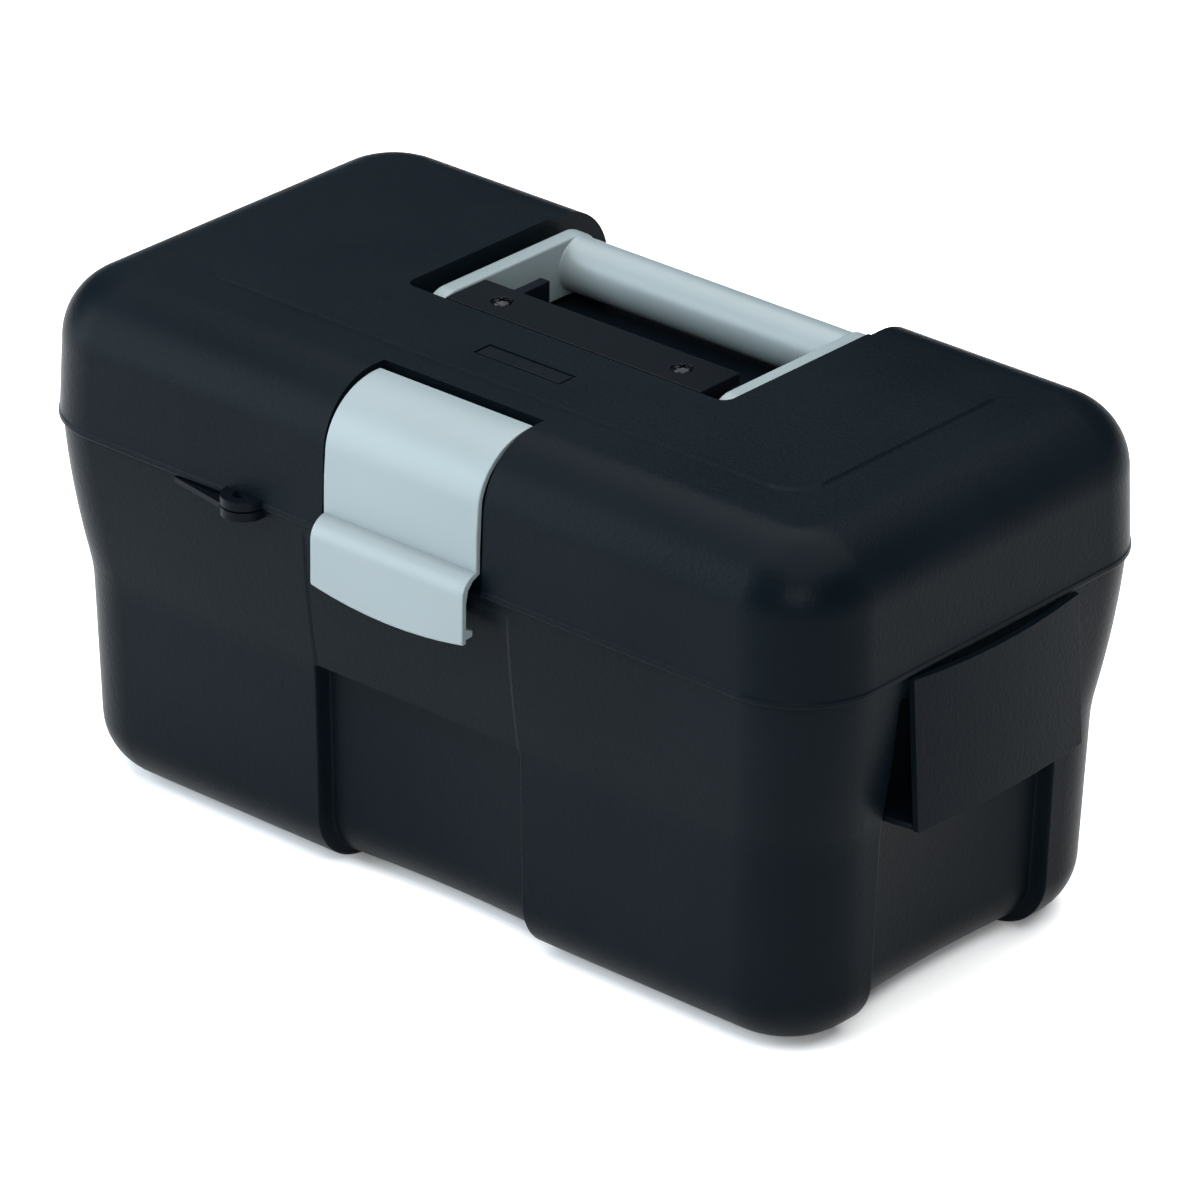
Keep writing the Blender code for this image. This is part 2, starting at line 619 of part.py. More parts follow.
def make_retainer():
    """The strip screwed down over the handle's pins."""
    low = RETAINER_TOP_Z - RETAINER_WALL
    strip = box((-RETAINER_HALF_X, RETAINER_Y[0], low), (RETAINER_HALF_X, RETAINER_Y[1], RETAINER_TOP_Z))
    retainer = add_object("handle_retainer", strip, gloss_black)
    for side, name in ((-1, "left"), (1, "right")):
        x0, x1 = sorted((side * (RETAINER_HALF_X - 9 * mm), side * (RETAINER_HALF_X - 0.2 * mm)))
        clamp = box((x0, -6 * mm, HANDLE_Z + HANDLE_PIN_R + GAP), (x1, 8 * mm, low + 1 * mm))
        join(retainer, add_object(f"retainer_clamp_{name}", clamp))
    cut(retainer, screw_hole("retainer_hole_left", -SCREW_X), screw_hole("retainer_hole_right", SCREW_X))


def make_screw(name, x):
    """A pan-head screw, turned round its own axis, with a cross recess."""
    head_low = RETAINER_TOP_Z + GAP
    head_high = head_low + SCREW_HEAD_HEIGHT
    profile = [
        (0, head_high), (SCREW_HEAD_R * 0.75, head_high), (SCREW_HEAD_R, head_high - 0.5 * mm),
        (SCREW_HEAD_R, head_low), (SCREW_R, head_low), (SCREW_R, head_low - SCREW_LENGTH + 1.5 * mm),
        (0, head_low - SCREW_LENGTH),
    ]
    bm = bmesh.new()
    points = [bm.verts.new((radius, 0, z)) for radius, z in profile]
    for first, second in zip(points, points[1:]):
        bm.edges.new((first, second))
    screw = add_object(name, bm, black_steel)
    screw.location = (x, SCREW_Y, 0)
    turn = screw.modifiers.new("Turn", "SCREW")
    turn.axis = "Z"
    turn.steps = 16
    turn.render_steps = 16
    turn.use_merge_vertices = True
    turn.merge_threshold = 0.00005
    turn.use_smooth_shade = True
    slot = 0.45 * mm
    reach = 1.7 * mm
    for index, (sx, sy) in enumerate(((slot, reach), (reach, slot))):
        lo = (x - sx, SCREW_Y - sy, head_high - 0.9 * mm)
        hi = (x + sx, SCREW_Y + sy, head_high + 1 * mm)
        cut(screw, add_object(f"{name}_slot_{index}", box(lo, hi)))


def make_hinge_pins():
    reach = 3 * KNUCKLE_HALF + KNUCKLE_GAP + 0.8 * mm
    for side, name in ((-1, "left"), (1, "right")):
        middle = side * HINGE_X
        pin = rod_x(HINGE_Y, HINGE_Z, HINGE_PIN_R, middle - reach, middle + reach, 12)
        add_object(f"hinge_pin_{name}", pin, steel, (middle, HINGE_Y, HINGE_Z))


# ---------------------------------------------------------------- tray

def tray_half(z):
    grow = TRAY_DRAFT * (z - TRAY_FLOOR_Z)
    return TRAY_HALF_X + grow, TRAY_HALF_Y + grow


def make_tray():
    rings = []
    for z, inset in ((TRAY_FLOOR_Z, 3 * mm), (TRAY_FLOOR_Z + 1 * mm, 0.9 * mm),
                     (TRAY_FLOOR_Z + 3 * mm, 0), (TRAY_TOP_Z, 0)):
        half_x, half_y = tray_half(z)
        outline = rounded_outline(half_x - inset, half_y - inset, TRAY_CORNER - inset, 5)
        rings.append([(x, y, z) for x, y in outline])
    tray = add_object("tray_shell", loft(rings, cap_high=False), tray_grey)
    solidify = tray.modifiers.new("Wall", "SOLIDIFY")
    solidify.thickness = TRAY_WALL
    solidify.offset = -1
    solidify.use_even_offset = True

    floor = TRAY_FLOOR_Z + TRAY_WALL / 2
    half_x, half_y = tray_half(TRAY_FLOOR_Z)
    spine = box((-half_x + 1 * mm, TRAY_SPINE_Y - 1 * mm, floor), (
        half_x - 1 * mm, TRAY_SPINE_Y + 1 * mm, TRAY_SPINE_TOP_Z))
    join(tray, add_object("tray_spine", spine))

    groove = DIVIDER_WALL / 2 + GAP
    rear = half_y - TRAY_WALL
    for number, x in enumerate(DIVIDER_X, start=1):
        for place, y0, y1 in (("spine", TRAY_SPINE_Y + 0.5 * mm, TRAY_SPINE_Y + 3.5 * mm),
                              ("wall", rear - 2.5 * mm, rear + 0.5 * mm)):
            for side in (-1, 1):
                x0, x1 = sorted((x + side * groove, x + side * (groove + 1.5 * mm)))
                rib = box((x0, y0, floor), (x1, y1, TRAY_SPINE_TOP_Z - 3 * mm))
                join(tray, add_object(f"tray_rib_{number}_{place}_{side + 2}", rib))
        lo = (x - DIVIDER_WALL / 2, TRAY_SPINE_Y + 1 * mm + GAP, TRAY_FLOOR_Z + TRAY_WALL + GAP)
        hi = (x + DIVIDER_WALL / 2, rear - 1.6 * mm, TRAY_SPINE_TOP_Z - 2 * mm)
        add_object(f"tray_divider_{number}", box(lo, hi), grey)


def make_tray_handle():
    """A bridge that straddles the tray's spine: a bar for the hand on two flat legs."""
    half = TRAY_HANDLE_HALF_X
    bar_z = TRAY_HANDLE_TOP_Z - TRAY_HANDLE_R
    bar = rod_x(TRAY_SPINE_Y, bar_z, TRAY_HANDLE_R, -half, half, 16)
    handle = add_object("tray_handle", bar, grey)
    low = TRAY_SPINE_TOP_Z - 16 * mm
    for side, name in ((-1, "left"), (1, "right")):
        x0, x1 = sorted((side * (half - 14 * mm), side * (half - 1 * mm)))
        leg = box((x0, TRAY_SPINE_Y - 3.4 * mm, low), (x1, TRAY_SPINE_Y + 3.4 * mm, bar_z))
        slot = box((x0 - 1 * mm, TRAY_SPINE_Y - 1 * mm - GAP, low - 1 * mm), (
            x1 + 1 * mm, TRAY_SPINE_Y + 1 * mm + GAP, TRAY_SPINE_TOP_Z + GAP))
        join(handle, add_object(f"tray_handle_leg_{name}", leg))
        cut(handle, add_object(f"tray_handle_slot_{name}", slot))


clear_scene()
parts = make_collection("Toolbox")
cutters = make_collection("Helper solids")
black = make_material("black_plastic", BLACK, 0.45)
gloss_black = make_material("gloss_black_plastic", GLOSS_BLACK, 0.18)
grey = make_material("light_grey_plastic", GREY, 0.4)
tray_grey = make_material("dark_grey_plastic", TRAY_GREY, 0.5)
steel = make_material("zinc_steel", STEEL, 0.35, 1.0)
black_steel = make_material("black_steel", BLACK_STEEL, 0.3, 1.0)

make_body()
make_lid()
make_latch()
make_handle()
make_retainer()
make_screw("retainer_screw_left", -SCREW_X)
make_screw("retainer_screw_right", SCREW_X)
make_hinge_pins()
make_tray()
make_tray_handle()
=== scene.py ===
"""Looks of the toolbox: fine grained shells, latch, handle and tray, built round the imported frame."""

import math

import bmesh
import bpy
from mathutils import Matrix, Vector


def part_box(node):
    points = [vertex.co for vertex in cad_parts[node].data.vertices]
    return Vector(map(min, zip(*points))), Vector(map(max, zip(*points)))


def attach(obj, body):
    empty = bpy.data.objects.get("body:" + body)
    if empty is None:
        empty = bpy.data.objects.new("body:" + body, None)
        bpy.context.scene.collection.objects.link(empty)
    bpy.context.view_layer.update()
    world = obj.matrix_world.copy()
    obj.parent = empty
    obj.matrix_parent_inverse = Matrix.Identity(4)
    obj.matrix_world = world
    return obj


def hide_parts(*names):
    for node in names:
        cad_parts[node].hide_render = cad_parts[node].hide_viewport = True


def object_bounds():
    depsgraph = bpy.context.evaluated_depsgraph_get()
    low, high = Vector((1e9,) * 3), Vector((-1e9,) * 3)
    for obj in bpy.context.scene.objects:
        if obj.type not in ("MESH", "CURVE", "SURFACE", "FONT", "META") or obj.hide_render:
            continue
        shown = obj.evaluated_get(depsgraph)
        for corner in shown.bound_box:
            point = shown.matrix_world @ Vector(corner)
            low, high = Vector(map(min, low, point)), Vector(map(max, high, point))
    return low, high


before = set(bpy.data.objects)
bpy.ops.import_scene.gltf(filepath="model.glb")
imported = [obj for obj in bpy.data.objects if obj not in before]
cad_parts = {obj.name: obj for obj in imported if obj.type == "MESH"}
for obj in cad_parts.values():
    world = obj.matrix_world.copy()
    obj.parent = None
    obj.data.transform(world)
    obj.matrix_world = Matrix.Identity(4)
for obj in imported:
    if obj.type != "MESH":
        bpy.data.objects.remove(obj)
cad_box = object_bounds()

mm = 0.001

# ---------------------------------------------------------------- places, read from the frame
lid_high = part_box("lid_shell")[1]
body_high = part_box("body_shell")[1]
latch_low, latch_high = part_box("latch")
grip_low, grip_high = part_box("handle_grip")
arm_low, arm_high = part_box("handle_arm_right")
strip_low, strip_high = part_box("handle_retainer")
tray_low, tray_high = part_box("tray_shell")
hinge_low, hinge_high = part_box("hinge_pin_right")
screw_low, screw_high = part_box("retainer_screw_right")
tray_handle_low, tray_handle_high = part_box("tray_handle")

RIM_X = lid_high.x
RIM_Y = 87.7 * mm
RIM_CORNER = 30 * mm
TOP_Z = lid_high.z
SEAM_Z = (hinge_low.z + hinge_high.z) / 2
WALL = 2.5 * mm
LID_ROLL = 23 * mm
LID_DRAFT = 0.065
BODY_INSET = 1.5 * mm
KINK_Z = 74 * mm
KINK_SOFT = 5 * mm
FLARE_SLOPE = 0.055
FLARE_CURVE = 1.2
LOWER_DRAFT = 0.03
FOOT_ROLL = 20 * mm
FOOT_CORNER = 9 * mm
LIP_INSET = 2.9 * mm
LIP_TOP_Z = body_high.z
LIP_GAP_HALF = 36.5 * mm

RECESS_HALF = 43 * mm
RECESS_DEPTH = 5.4 * mm
RECESS_BOW = 0.35              # extra depth in the middle, as a share
RECESS_EDGE = 1.6 * mm
FRONT_TRACE = 0.05             # the recess goes on above its top edge as a faint step
END_RECESS_TOP = 114 * mm
END_RECESS_FADE = 6 * mm

BRACKET_HALF_Y = 40.3 * mm
BRACKET_Z = (75.5 * mm, 126.2 * mm)
BRACKET_DIP = 1.4 * mm         # the top edge is this much lower in the middle
BRACKET_TOP_X = 166 * mm
BRACKET_BOW = 2 * mm
BRACKET_BOTTOM_X = body_high.x - BRACKET_BOW
BRACKET_WALL = 2.2 * mm
SHELF_HALF_Y = 42.5 * mm

HINGE_Y = (hinge_low.y + hinge_high.y) / 2
HINGE_X = (hinge_low.x + hinge_high.x) / 2
KNUCKLE_R = body_high.y - HINGE_Y
KNUCKLE_HALF = 5.6 * mm
KNUCKLE_PITCH = 11.6 * mm
HINGE_BORE_R = 1.5 * mm

CHANNEL_HALF_X = 33.2 * mm
CHANNEL_DEPTH = 3.8 * mm
SLOT_REAR_Y = -58.4 * mm
SLOT_FLOOR_Z = 163.4 * mm
LATCH_HALF_X = latch_high.x
LATCH_WALL = 2 * mm
LATCH_PROUD = 0.7 * mm
LATCH_SINK = 2.6 * mm          # it drops by this much towards its top edge
LATCH_TOP_Y = -62 * mm
LATCH_PIVOT = Vector((0, -67.5 * mm, 170.3 * mm))
LATCH_KNUCKLE_R = 2.8 * mm
SHOULDER_Z = 135 * mm
LATCH_BOW = 3.2 * mm

EAR_X = -66.5 * mm
EAR_R = 7.5 * mm
EAR_Y = -87.5 * mm
EAR_HOLE_R = 2.8 * mm
EAR_WALL = 3 * mm
LEDGE_LENGTH = 30 * mm         # a wedge that runs left from the lower ear

NOTCH_HALF_X = 66.5 * mm
NOTCH_FRONT_Y = -12.3 * mm
NOTCH_FLOOR_Z = 152.5 * mm
NOTCH_CORNER = 4 * mm
HANDLE_Z = (grip_low.z + grip_high.z) / 2
GRIP_Y = (grip_low.y + grip_high.y) / 2
GRIP_R = (grip_high.z - grip_low.z) / 2
ARM_R = (arm_high.z - arm_low.z) / 2
PIVOT_Y = arm_low.y + ARM_R
ARM_INNER_X = grip_high.x + 0.3 * mm
ARM_OUTER_X = arm_high.x
HANDLE_PIN_R = 3 * mm
SCREW_X = (screw_low.x + screw_high.x) / 2
SCREW_Y = (screw_low.y + screw_high.y) / 2
SCREW_HEAD_R = (screw_high.x - screw_low.x) / 2
SCREW_POST_HALF = 4.5 * mm
NOTCH_STOP_X = (-41 * mm, -37 * mm)    # a small block behind the strip, beside the left arm
NOTCH_STOP_REACH = 13 * mm

PLATEAU_X = 126 * mm
PLATEAU_FRONT_Y = -48.5 * mm
PLATEAU_RISE = 0.8 * mm
PLAQUE = (2.5 * mm, -33 * mm, 18 * mm, 4 * mm)      # middle x and y, half length, half width
PLAQUE_RISE = 0.5 * mm         # depth of the sunk frame round it
PLAQUE_GAP = 0.9 * mm

TRAY_WALL = 2 * mm
TRAY_CORNER = 16 * mm
TRAY_DRAFT = 0.05
SPINE_Y = 6 * mm
SPINE_TOP_Z = 117 * mm


# ---------------------------------------------------------------- mesh helpers

def arc(cx, cy, radius, start, end, steps):
    """Points on an arc, its angles in degrees."""
    angles = [math.radians(start + (end - start) * i / steps) for i in range(steps + 1)]
    return [(cx + radius * math.cos(a), cy + radius * math.sin(a)) for a in angles]


def smooth(t):
    """0 below 0, 1 above 1, and a soft S between."""
    t = min(max(t, 0.0), 1.0)
    return t * t * (3 - 2 * t)


def loft(rings, cap_low=True, cap_high=True):
    bm = bmesh.new()
    rows = [[bm.verts.new(point) for point in ring] for ring in rings]
    for lower, upper in zip(rows, rows[1:]):
        for i in range(len(lower)):
            j = (i + 1) % len(lower)
            bm.faces.new((lower[i], lower[j], upper[j], upper[i]))
    if cap_low:
        bm.faces.new(rows[0][::-1])
    if cap_high:
        bm.faces.new(rows[-1])
    return bm


def prism(outline, place, low, high):
    """Extrude a closed outline. place(u, v, w) maps the outline's u, v and the extrusion w to XYZ."""
    bm = bmesh.new()
    face = bm.faces.new([bm.verts.new(place(u, v, low)) for u, v in outline])
    swept = bmesh.ops.extrude_face_region(bm, geom=[face])
    moved = [item for item in swept["geom"] if isinstance(item, bmesh.types.BMVert)]
    shift = Vector(place(0, 0, high)) - Vector(place(0, 0, low))
    bmesh.ops.translate(bm, verts=moved, vec=shift)
    bmesh.ops.recalc_face_normals(bm, faces=bm.faces)
    return bm


def along_x(u, v, w):
    return (w, u, v)


def along_z(u, v, w):
    return (u, v, w)


def box(lo, hi):
    bm = bmesh.new()
    bmesh.ops.create_cube(bm, size=1.0)
    lo, hi = Vector(lo), Vector(hi)
    size = Matrix.Diagonal((*(hi - lo), 1.0))
    bmesh.ops.transform(bm, matrix=Matrix.Translation((lo + hi) / 2) @ size, verts=bm.verts)
    return bm


def rod_x(y, z, radius, x0, x1, segments=48):
    bm = bmesh.new()
    bmesh.ops.create_cone(bm, cap_ends=True, segments=segments, radius1=radius, radius2=radius, depth=x1 - x0)
    turn = Matrix.Rotation(math.pi / 2, 4, "Y")
    bmesh.ops.transform(bm, matrix=Matrix.Translation(((x0 + x1) / 2, y, z)) @ turn, verts=bm.verts)
    return bm


def rod_z(x, y, radius, z0, z1, segments=40):
    bm = bmesh.new()
    bmesh.ops.create_cone(bm, cap_ends=True, segments=segments, radius1=radius, radius2=radius, depth=z1 - z0)
    bmesh.ops.transform(bm, matrix=Matrix.Translation((x, y, (z0 + z1) / 2)), verts=bm.verts)
    return bm


def soften(bm, width, angle=35, segments=3, keep=None):
    """Round every edge sharper than the angle. keep(edge) leaves some of them alone."""
    bmesh.ops.remove_doubles(bm, verts=bm.verts, dist=0.00001)
    bmesh.ops.dissolve_degenerate(bm, edges=bm.edges, dist=0.00001)
    limit = math.radians(angle)
    edges = [e for e in bm.edges if len(e.link_faces) == 2 and e.calc_face_angle(0) > limit]
    if keep:
        edges = [e for e in edges if not keep(e)]
    bmesh.ops.bevel(
        bm, geom=edges, offset=width, segments=segments, profile=0.5, affect="EDGES", clamp_overlap=True)
    return bm


def combine(base, *steps):
    """Join or cut solids in turn. Each step is (bmesh, "UNION" or "DIFFERENCE"). Returns a new bmesh."""
    helpers = []
    for bm in (base, *[step[0] for step in steps]):
        mesh = bpy.data.meshes.new("helper")
        bm.to_mesh(mesh)
        bm.free()
        helper = bpy.data.objects.new("helper", mesh)
        bpy.context.scene.collection.objects.link(helper)
        helpers.append(helper)
    for helper, (_, operation) in zip(helpers[1:], steps):
        modifier = helpers[0].modifiers.new("Combine", "BOOLEAN")
        modifier.operation = operation
        modifier.solver = "EXACT"
        modifier.object = helper
    graph = bpy.context.evaluated_depsgraph_get()
    mesh = bpy.data.meshes.new_from_object(helpers[0].evaluated_get(graph))
    result = bmesh.new()
    result.from_mesh(mesh)
    bpy.data.meshes.remove(mesh)
    for helper in helpers:
        data = helper.data
        bpy.data.objects.remove(helper)
        bpy.data.meshes.remove(data)
    return result


def piece(name, bm, material, slot, body, *nodes, sharp=50):
    """Make a shown piece from a bmesh: shaded, riding on its body, standing for its CAD nodes."""
    mesh = bpy.data.meshes.new(name)
    bm.to_mesh(mesh)
    bm.free()
    mesh.materials.clear()
    mesh.materials.append(material)
    mesh.shade_smooth()
    mesh.set_sharp_from_angle(angle=math.radians(sharp))
    obj = bpy.data.objects.new(name, mesh)
    bpy.context.scene.collection.objects.link(obj)
    even = obj.modifiers.new("Even normals", "WEIGHTED_NORMAL")
    even.keep_sharp = True
    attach(obj, body)
    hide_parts(*nodes)
    return obj


# ---------------------------------------------------------------- materials

def node_material(name):
    material = bpy.data.materials.new(name)
    material.use_nodes = True
    tree = material.node_tree
    return material, tree, tree.nodes["Principled BSDF"]


def noise(tree, scale, detail, roughness=0.5, stretch=None):
    """A noise texture in the object's own coordinates, its scale in features per metre."""
    place = tree.nodes.new("ShaderNodeTexCoord")
    out = place.outputs["Object"]
    if stretch:
        mapping = tree.nodes.new("ShaderNodeMapping")
        mapping.inputs["Scale"].default_value = stretch
        tree.links.new(out, mapping.inputs["Vector"])
        out = mapping.outputs["Vector"]
    texture = tree.nodes.new("ShaderNodeTexNoise")
    texture.inputs["Scale"].default_value = scale
    texture.inputs["Detail"].default_value = detail
    texture.inputs["Roughness"].default_value = roughness
    tree.links.new(out, texture.inputs["Vector"])
    return texture.outputs["Fac"]


def spread(tree, value, low, high, start=0.3, end=0.7):
    """Map a texture's value to a range."""
    node = tree.nodes.new("ShaderNodeMapRange")
    node.inputs["From Min"].default_value = start
    node.inputs["From Max"].default_value = end
    node.inputs["To Min"].default_value = low
    node.inputs["To Max"].default_value = high
    tree.links.new(value, node.inputs["Value"])
    return node.outputs["Result"]


def tint(tree, value, dark, light):
    """A colour between two, chosen by a texture's value."""
    ramp = tree.nodes.new("ShaderNodeValToRGB")
    ramp.color_ramp.elements[0].position = 0.3
    ramp.color_ramp.elements[0].color = (*dark, 1)
    ramp.color_ramp.elements[1].position = 0.7
    ramp.color_ramp.elements[1].color = (*light, 1)
    tree.links.new(value, ramp.inputs["Fac"])
    return ramp.outputs["Color"]


def bump(tree, shader, *layers):
    """Stack bumps: each layer is (texture value, height in metres, strength)."""
    normal = None
    for value, height, strength in layers:
        node = tree.nodes.new("ShaderNodeBump")
        node.inputs["Distance"].default_value = height
        node.inputs["Strength"].default_value = strength
        tree.links.new(value, node.inputs["Height"])
        if normal:
            tree.links.new(normal, node.inputs["Normal"])
        normal = node.outputs["Normal"]
    tree.links.new(normal, shader.inputs["Normal"])


def moulded_plastic(name, dark, light, rough, grain_height, grain_scale, specular=0.5):
    """Moulded plastic: a fine spark-eroded grain, cloudy gloss, and a slight drift in its colour."""
    material, tree, shader = node_material(name)
    shader.inputs["Specular IOR Level"].default_value = specular
    cloud = noise(tree, 14, 4)
    grain = noise(tree, grain_scale, 3, 0.6)
    pores = noise(tree, grain_scale * 2.7, 2, 0.5)
    tree.links.new(tint(tree, cloud, dark, light), shader.inputs["Base Color"])
    tree.links.new(spread(tree, cloud, rough - 0.04, rough + 0.05), shader.inputs["Roughness"])
    bump(tree, shader, (grain, grain_height, 1.0), (pores, grain_height * 0.5, 1.0))
    return material


def turned_steel(name, dark, light, low, high):
    """Steel with fine streaks round or along it."""
    material, tree, shader = node_material(name)
    shader.inputs["Metallic"].default_value = 1.0
    streaks = noise(tree, 900, 3, 0.6, stretch=(0.15, 1, 1))
    tree.links.new(tint(tree, streaks, dark, light), shader.inputs["Base Color"])
    tree.links.new(spread(tree, streaks, low, high), shader.inputs["Roughness"])
    bump(tree, shader, (streaks, 0.00002, 0.6))
    return material


black = moulded_plastic(
    "black_grained", (0.0012, 0.0027, 0.0042), (0.0020, 0.0037, 0.0054), 0.36, 0.00012, 620, 0.026)
black_smooth = moulded_plastic(
    "black_satin", (0.0014, 0.0025, 0.0040), (0.0022, 0.0034, 0.0050), 0.34, 0.00002, 600, 0.03)
gloss = moulded_plastic(
    "black_gloss", (0.0010, 0.0015, 0.0023), (0.0016, 0.0022, 0.0032), 0.16, 0.000004, 300, 0.05)
grey = moulded_plastic(
    "grey_satin", (0.108, 0.137, 0.145), (0.121, 0.150, 0.159), 0.38, 0.000006, 500, 0.35)
tray_grey = moulded_plastic(
    "tray_charcoal", (0.055, 0.062, 0.07), (0.066, 0.074, 0.083), 0.5, 0.00002, 800, 0.4)
steel = turned_steel("zinc_steel", (0.42, 0.42, 0.42), (0.62, 0.61, 0.58), 0.26, 0.42)
black_steel = turned_steel("black_oxide_steel", (0.010, 0.011, 0.013), (0.022, 0.023, 0.026), 0.22, 0.36)


# ---------------------------------------------------------------- body

def body_inset(z, wall=0.0):
    """How far the wall lies within the lid's rim, with the kink under the flare softened."""
    height = max(SEAM_Z - z, 0)
    reach = SEAM_Z - KINK_Z
    flared = min(height, reach)
    near = (height - reach) / KINK_SOFT
    if abs(near) < 1:
        flared -= KINK_SOFT * (1 - abs(near)) ** 2 / 4
    inset = wall + BODY_INSET + FLARE_SLOPE * flared + FLARE_CURVE * flared ** 2
    inset += LOWER_DRAFT * max(height - reach, 0)
    roll = FOOT_ROLL - wall
    if z < FOOT_ROLL:
        inset += roll - math.sqrt(max(roll ** 2 - (FOOT_ROLL - z) ** 2, 0))
    return inset


def recess_share(z, wall, end):
    """How deep a recess is at height z: full below its top edge, then a faint trace or nothing."""
    if end:
        return 1 - smooth((z - wall - END_RECESS_TOP) / END_RECESS_FADE)
    low = 1 - smooth((z - wall - KINK_Z) / RECESS_EDGE)
    trace = FRONT_TRACE * (1 - smooth((z - SEAM_Z + 5 * mm) / (3 * mm)))
    return max(low, trace)


def recess_depth(along, z, wall, end):
    edge = smooth((RECESS_HALF + wall + 0.3 * mm - abs(along)) / RECESS_EDGE)
    bow = 1 + RECESS_BOW * max(0, 1 - (along / RECESS_HALF) ** 2)
    foot = 0.6 + 0.4 * smooth((z - wall) / (1.5 * mm))
    return RECESS_DEPTH * edge * bow * foot * recess_share(z, wall, end)


def wall_stations(half, wall):
    """Places along a wall, close together at a recess's two edges."""
    edge = RECESS_HALF + wall - RECESS_EDGE / 2 + 0.3 * mm
    near = [edge + step * RECESS_EDGE / 8 for step in (-6, -4, -3, -2, -1, 0, 1, 2, 3, 4, 6)]
    inner = [0, 9 * mm, 18 * mm, 27 * mm, 35 * mm]
    outer = [near[-1] + (half - near[-1]) * share for share in (0.2, 0.4, 0.6, 0.8)]
    right = inner + near + outer
    return [-mark for mark in right[:0:-1]] + right


def body_ring(z, wall=0.0, extra=0.0):
    inset = body_inset(z, wall) + extra
    half_x, half_y = RIM_X - inset, RIM_Y - inset
    rise = min(1.0, max(0.0, (z - wall) / (FOOT_ROLL - wall)))
    radius = FOOT_CORNER + (RIM_CORNER - BODY_INSET - FOOT_CORNER) * math.sqrt(1 - (1 - rise) ** 2)
    radius -= (wall + extra) * 0.9
    ring = []
    for index, (sx, sy) in enumerate(((1, -1), (1, 1), (-1, 1), (-1, -1))):
        cx, cy = sx * (half_x - radius), sy * (half_y - radius)
        ring += [(x, y, z) for x, y in arc(cx, cy, radius, index * 90 - 90, index * 90, 16)]
        end = index % 2 == 0
        half = (half_y if end else half_x) - radius
        for mark in wall_stations(half, wall):
            along = mark if index in (0, 3) else -mark
            depth = recess_depth(along, z, wall, end)
            if end:
                ring.append((sx * (half_x - depth), along, z))
            else:
                ring.append((along, sy * (half_y - depth), z))
    return ring


def body_heights(wall):
    roll = FOOT_ROLL - wall
    heights = [FOOT_ROLL - roll * math.cos(math.radians(90 * i / 14)) for i in range(15)]
    heights += [wall + z * mm for z in (27, 36, 45, 54, 62, 68, 71, 72.6)]
    heights += [wall + KINK_Z + RECESS_EDGE * i / 8 for i in range(-2, 11)]
    heights += [z * mm for z in (80, 83, 86, 90, 94, 98, 102, 106, 110)]
    heights += [wall + END_RECESS_TOP + END_RECESS_FADE * i / 6 for i in range(7)]
    return heights


def make_body():
    outer = [body_ring(z) for z in body_heights(0.0)]
    lip = LIP_INSET - BODY_INSET
    for z, extra in ((121.5, 0), (123, 0), (124.6, 0), (126.2, 0), (126.6, 0.05), (126.8, 0.2), (126.9, 0.5)):
        outer.append(body_ring(z * mm, 0, extra * mm))
    outer.append(body_ring(126.92 * mm, 0, lip))
    for drop, extra in ((0.6, 0), (0.2, 0.15), (0, 0.5)):
        outer.append(body_ring(LIP_TOP_Z - drop * mm, 0, lip + extra * mm))
    inner = [body_ring(z, WALL) for z in body_heights(WALL)]
    inner.append(body_ring(SEAM_Z - 2 * mm, WALL, lip))
    inner.append(body_ring(LIP_TOP_Z - 0.5 * mm, WALL, lip))
    inner.append(body_ring(LIP_TOP_Z, WALL, lip - 0.4 * mm))
    shell = loft(outer + inner[::-1])
    gap = box((-LIP_GAP_HALF, -RIM_Y - 3 * mm, SEAM_Z), (LIP_GAP_HALF, -RIM_Y + 12 * mm, LIP_TOP_Z + 5 * mm))
    shell = combine(shell, (gap, "DIFFERENCE"))
    bmesh.ops.remove_doubles(shell, verts=shell.verts, dist=0.00001)
    piece("body_casing", shell, black, "black_plastic", "box", "body_shell", sharp=60)


def bracket_sections(side):
    """Upright sections of one end bracket, a thin plate that leans and bows outwards."""
    sections = []
    for step in range(25):
        along = -1 + step / 12
        middle = 1 - along ** 2
        y = along * BRACKET_HALF_Y
        low_x, high_x = BRACKET_BOTTOM_X + BRACKET_BOW * middle, BRACKET_TOP_X + BRACKET_BOW * middle
        high_z = BRACKET_Z[1] - BRACKET_DIP * middle
        sections.append([
            (side * low_x, y, BRACKET_Z[0]), (side * high_x, y, high_z),
            (side * (high_x - BRACKET_WALL), y, high_z), (side * (low_x - BRACKET_WALL), y, BRACKET_Z[0]),
        ])
    return sections


def make_brackets():
    """The bowed plates on the ends, each joined to the wall by a shelf along its bottom edge."""
    wall_x = RIM_X - body_inset(BRACKET_Z[0]) - RECESS_DEPTH - WALL / 2
    for side, name in ((1, "right"), (-1, "left")):
        sections = bracket_sections(side)
        plate = loft(sections)
        bmesh.ops.recalc_face_normals(plate, faces=plate.faces)
        shelf = [(section[0][0] - side * BRACKET_WALL / 2, section[0][1] * 0.995) for section in sections]
        back = [1, 0.9, 0.7, 0.4, 0, -0.4, -0.7, -0.9, -1]
        shelf += [(side * (wall_x - 2 * mm * (1 - mark ** 2)), SHELF_HALF_Y * mark) for mark in back]
        shelf = prism(shelf, along_z, BRACKET_Z[0] + 0.2 * mm, BRACKET_Z[0] + BRACKET_WALL)
        bm = combine(plate, (shelf, "UNION"))
        soften(bm, 0.4 * mm)
        piece(f"end_bracket_{name}", bm, black, "black_plastic", "box", "body_shell")


def ear_outline(base_y):
    curve = arc(EAR_X, EAR_Y, EAR_R, 180, 360, 32)
    return [(EAR_X - EAR_R, base_y)] + curve + [(EAR_X + EAR_R, base_y)]


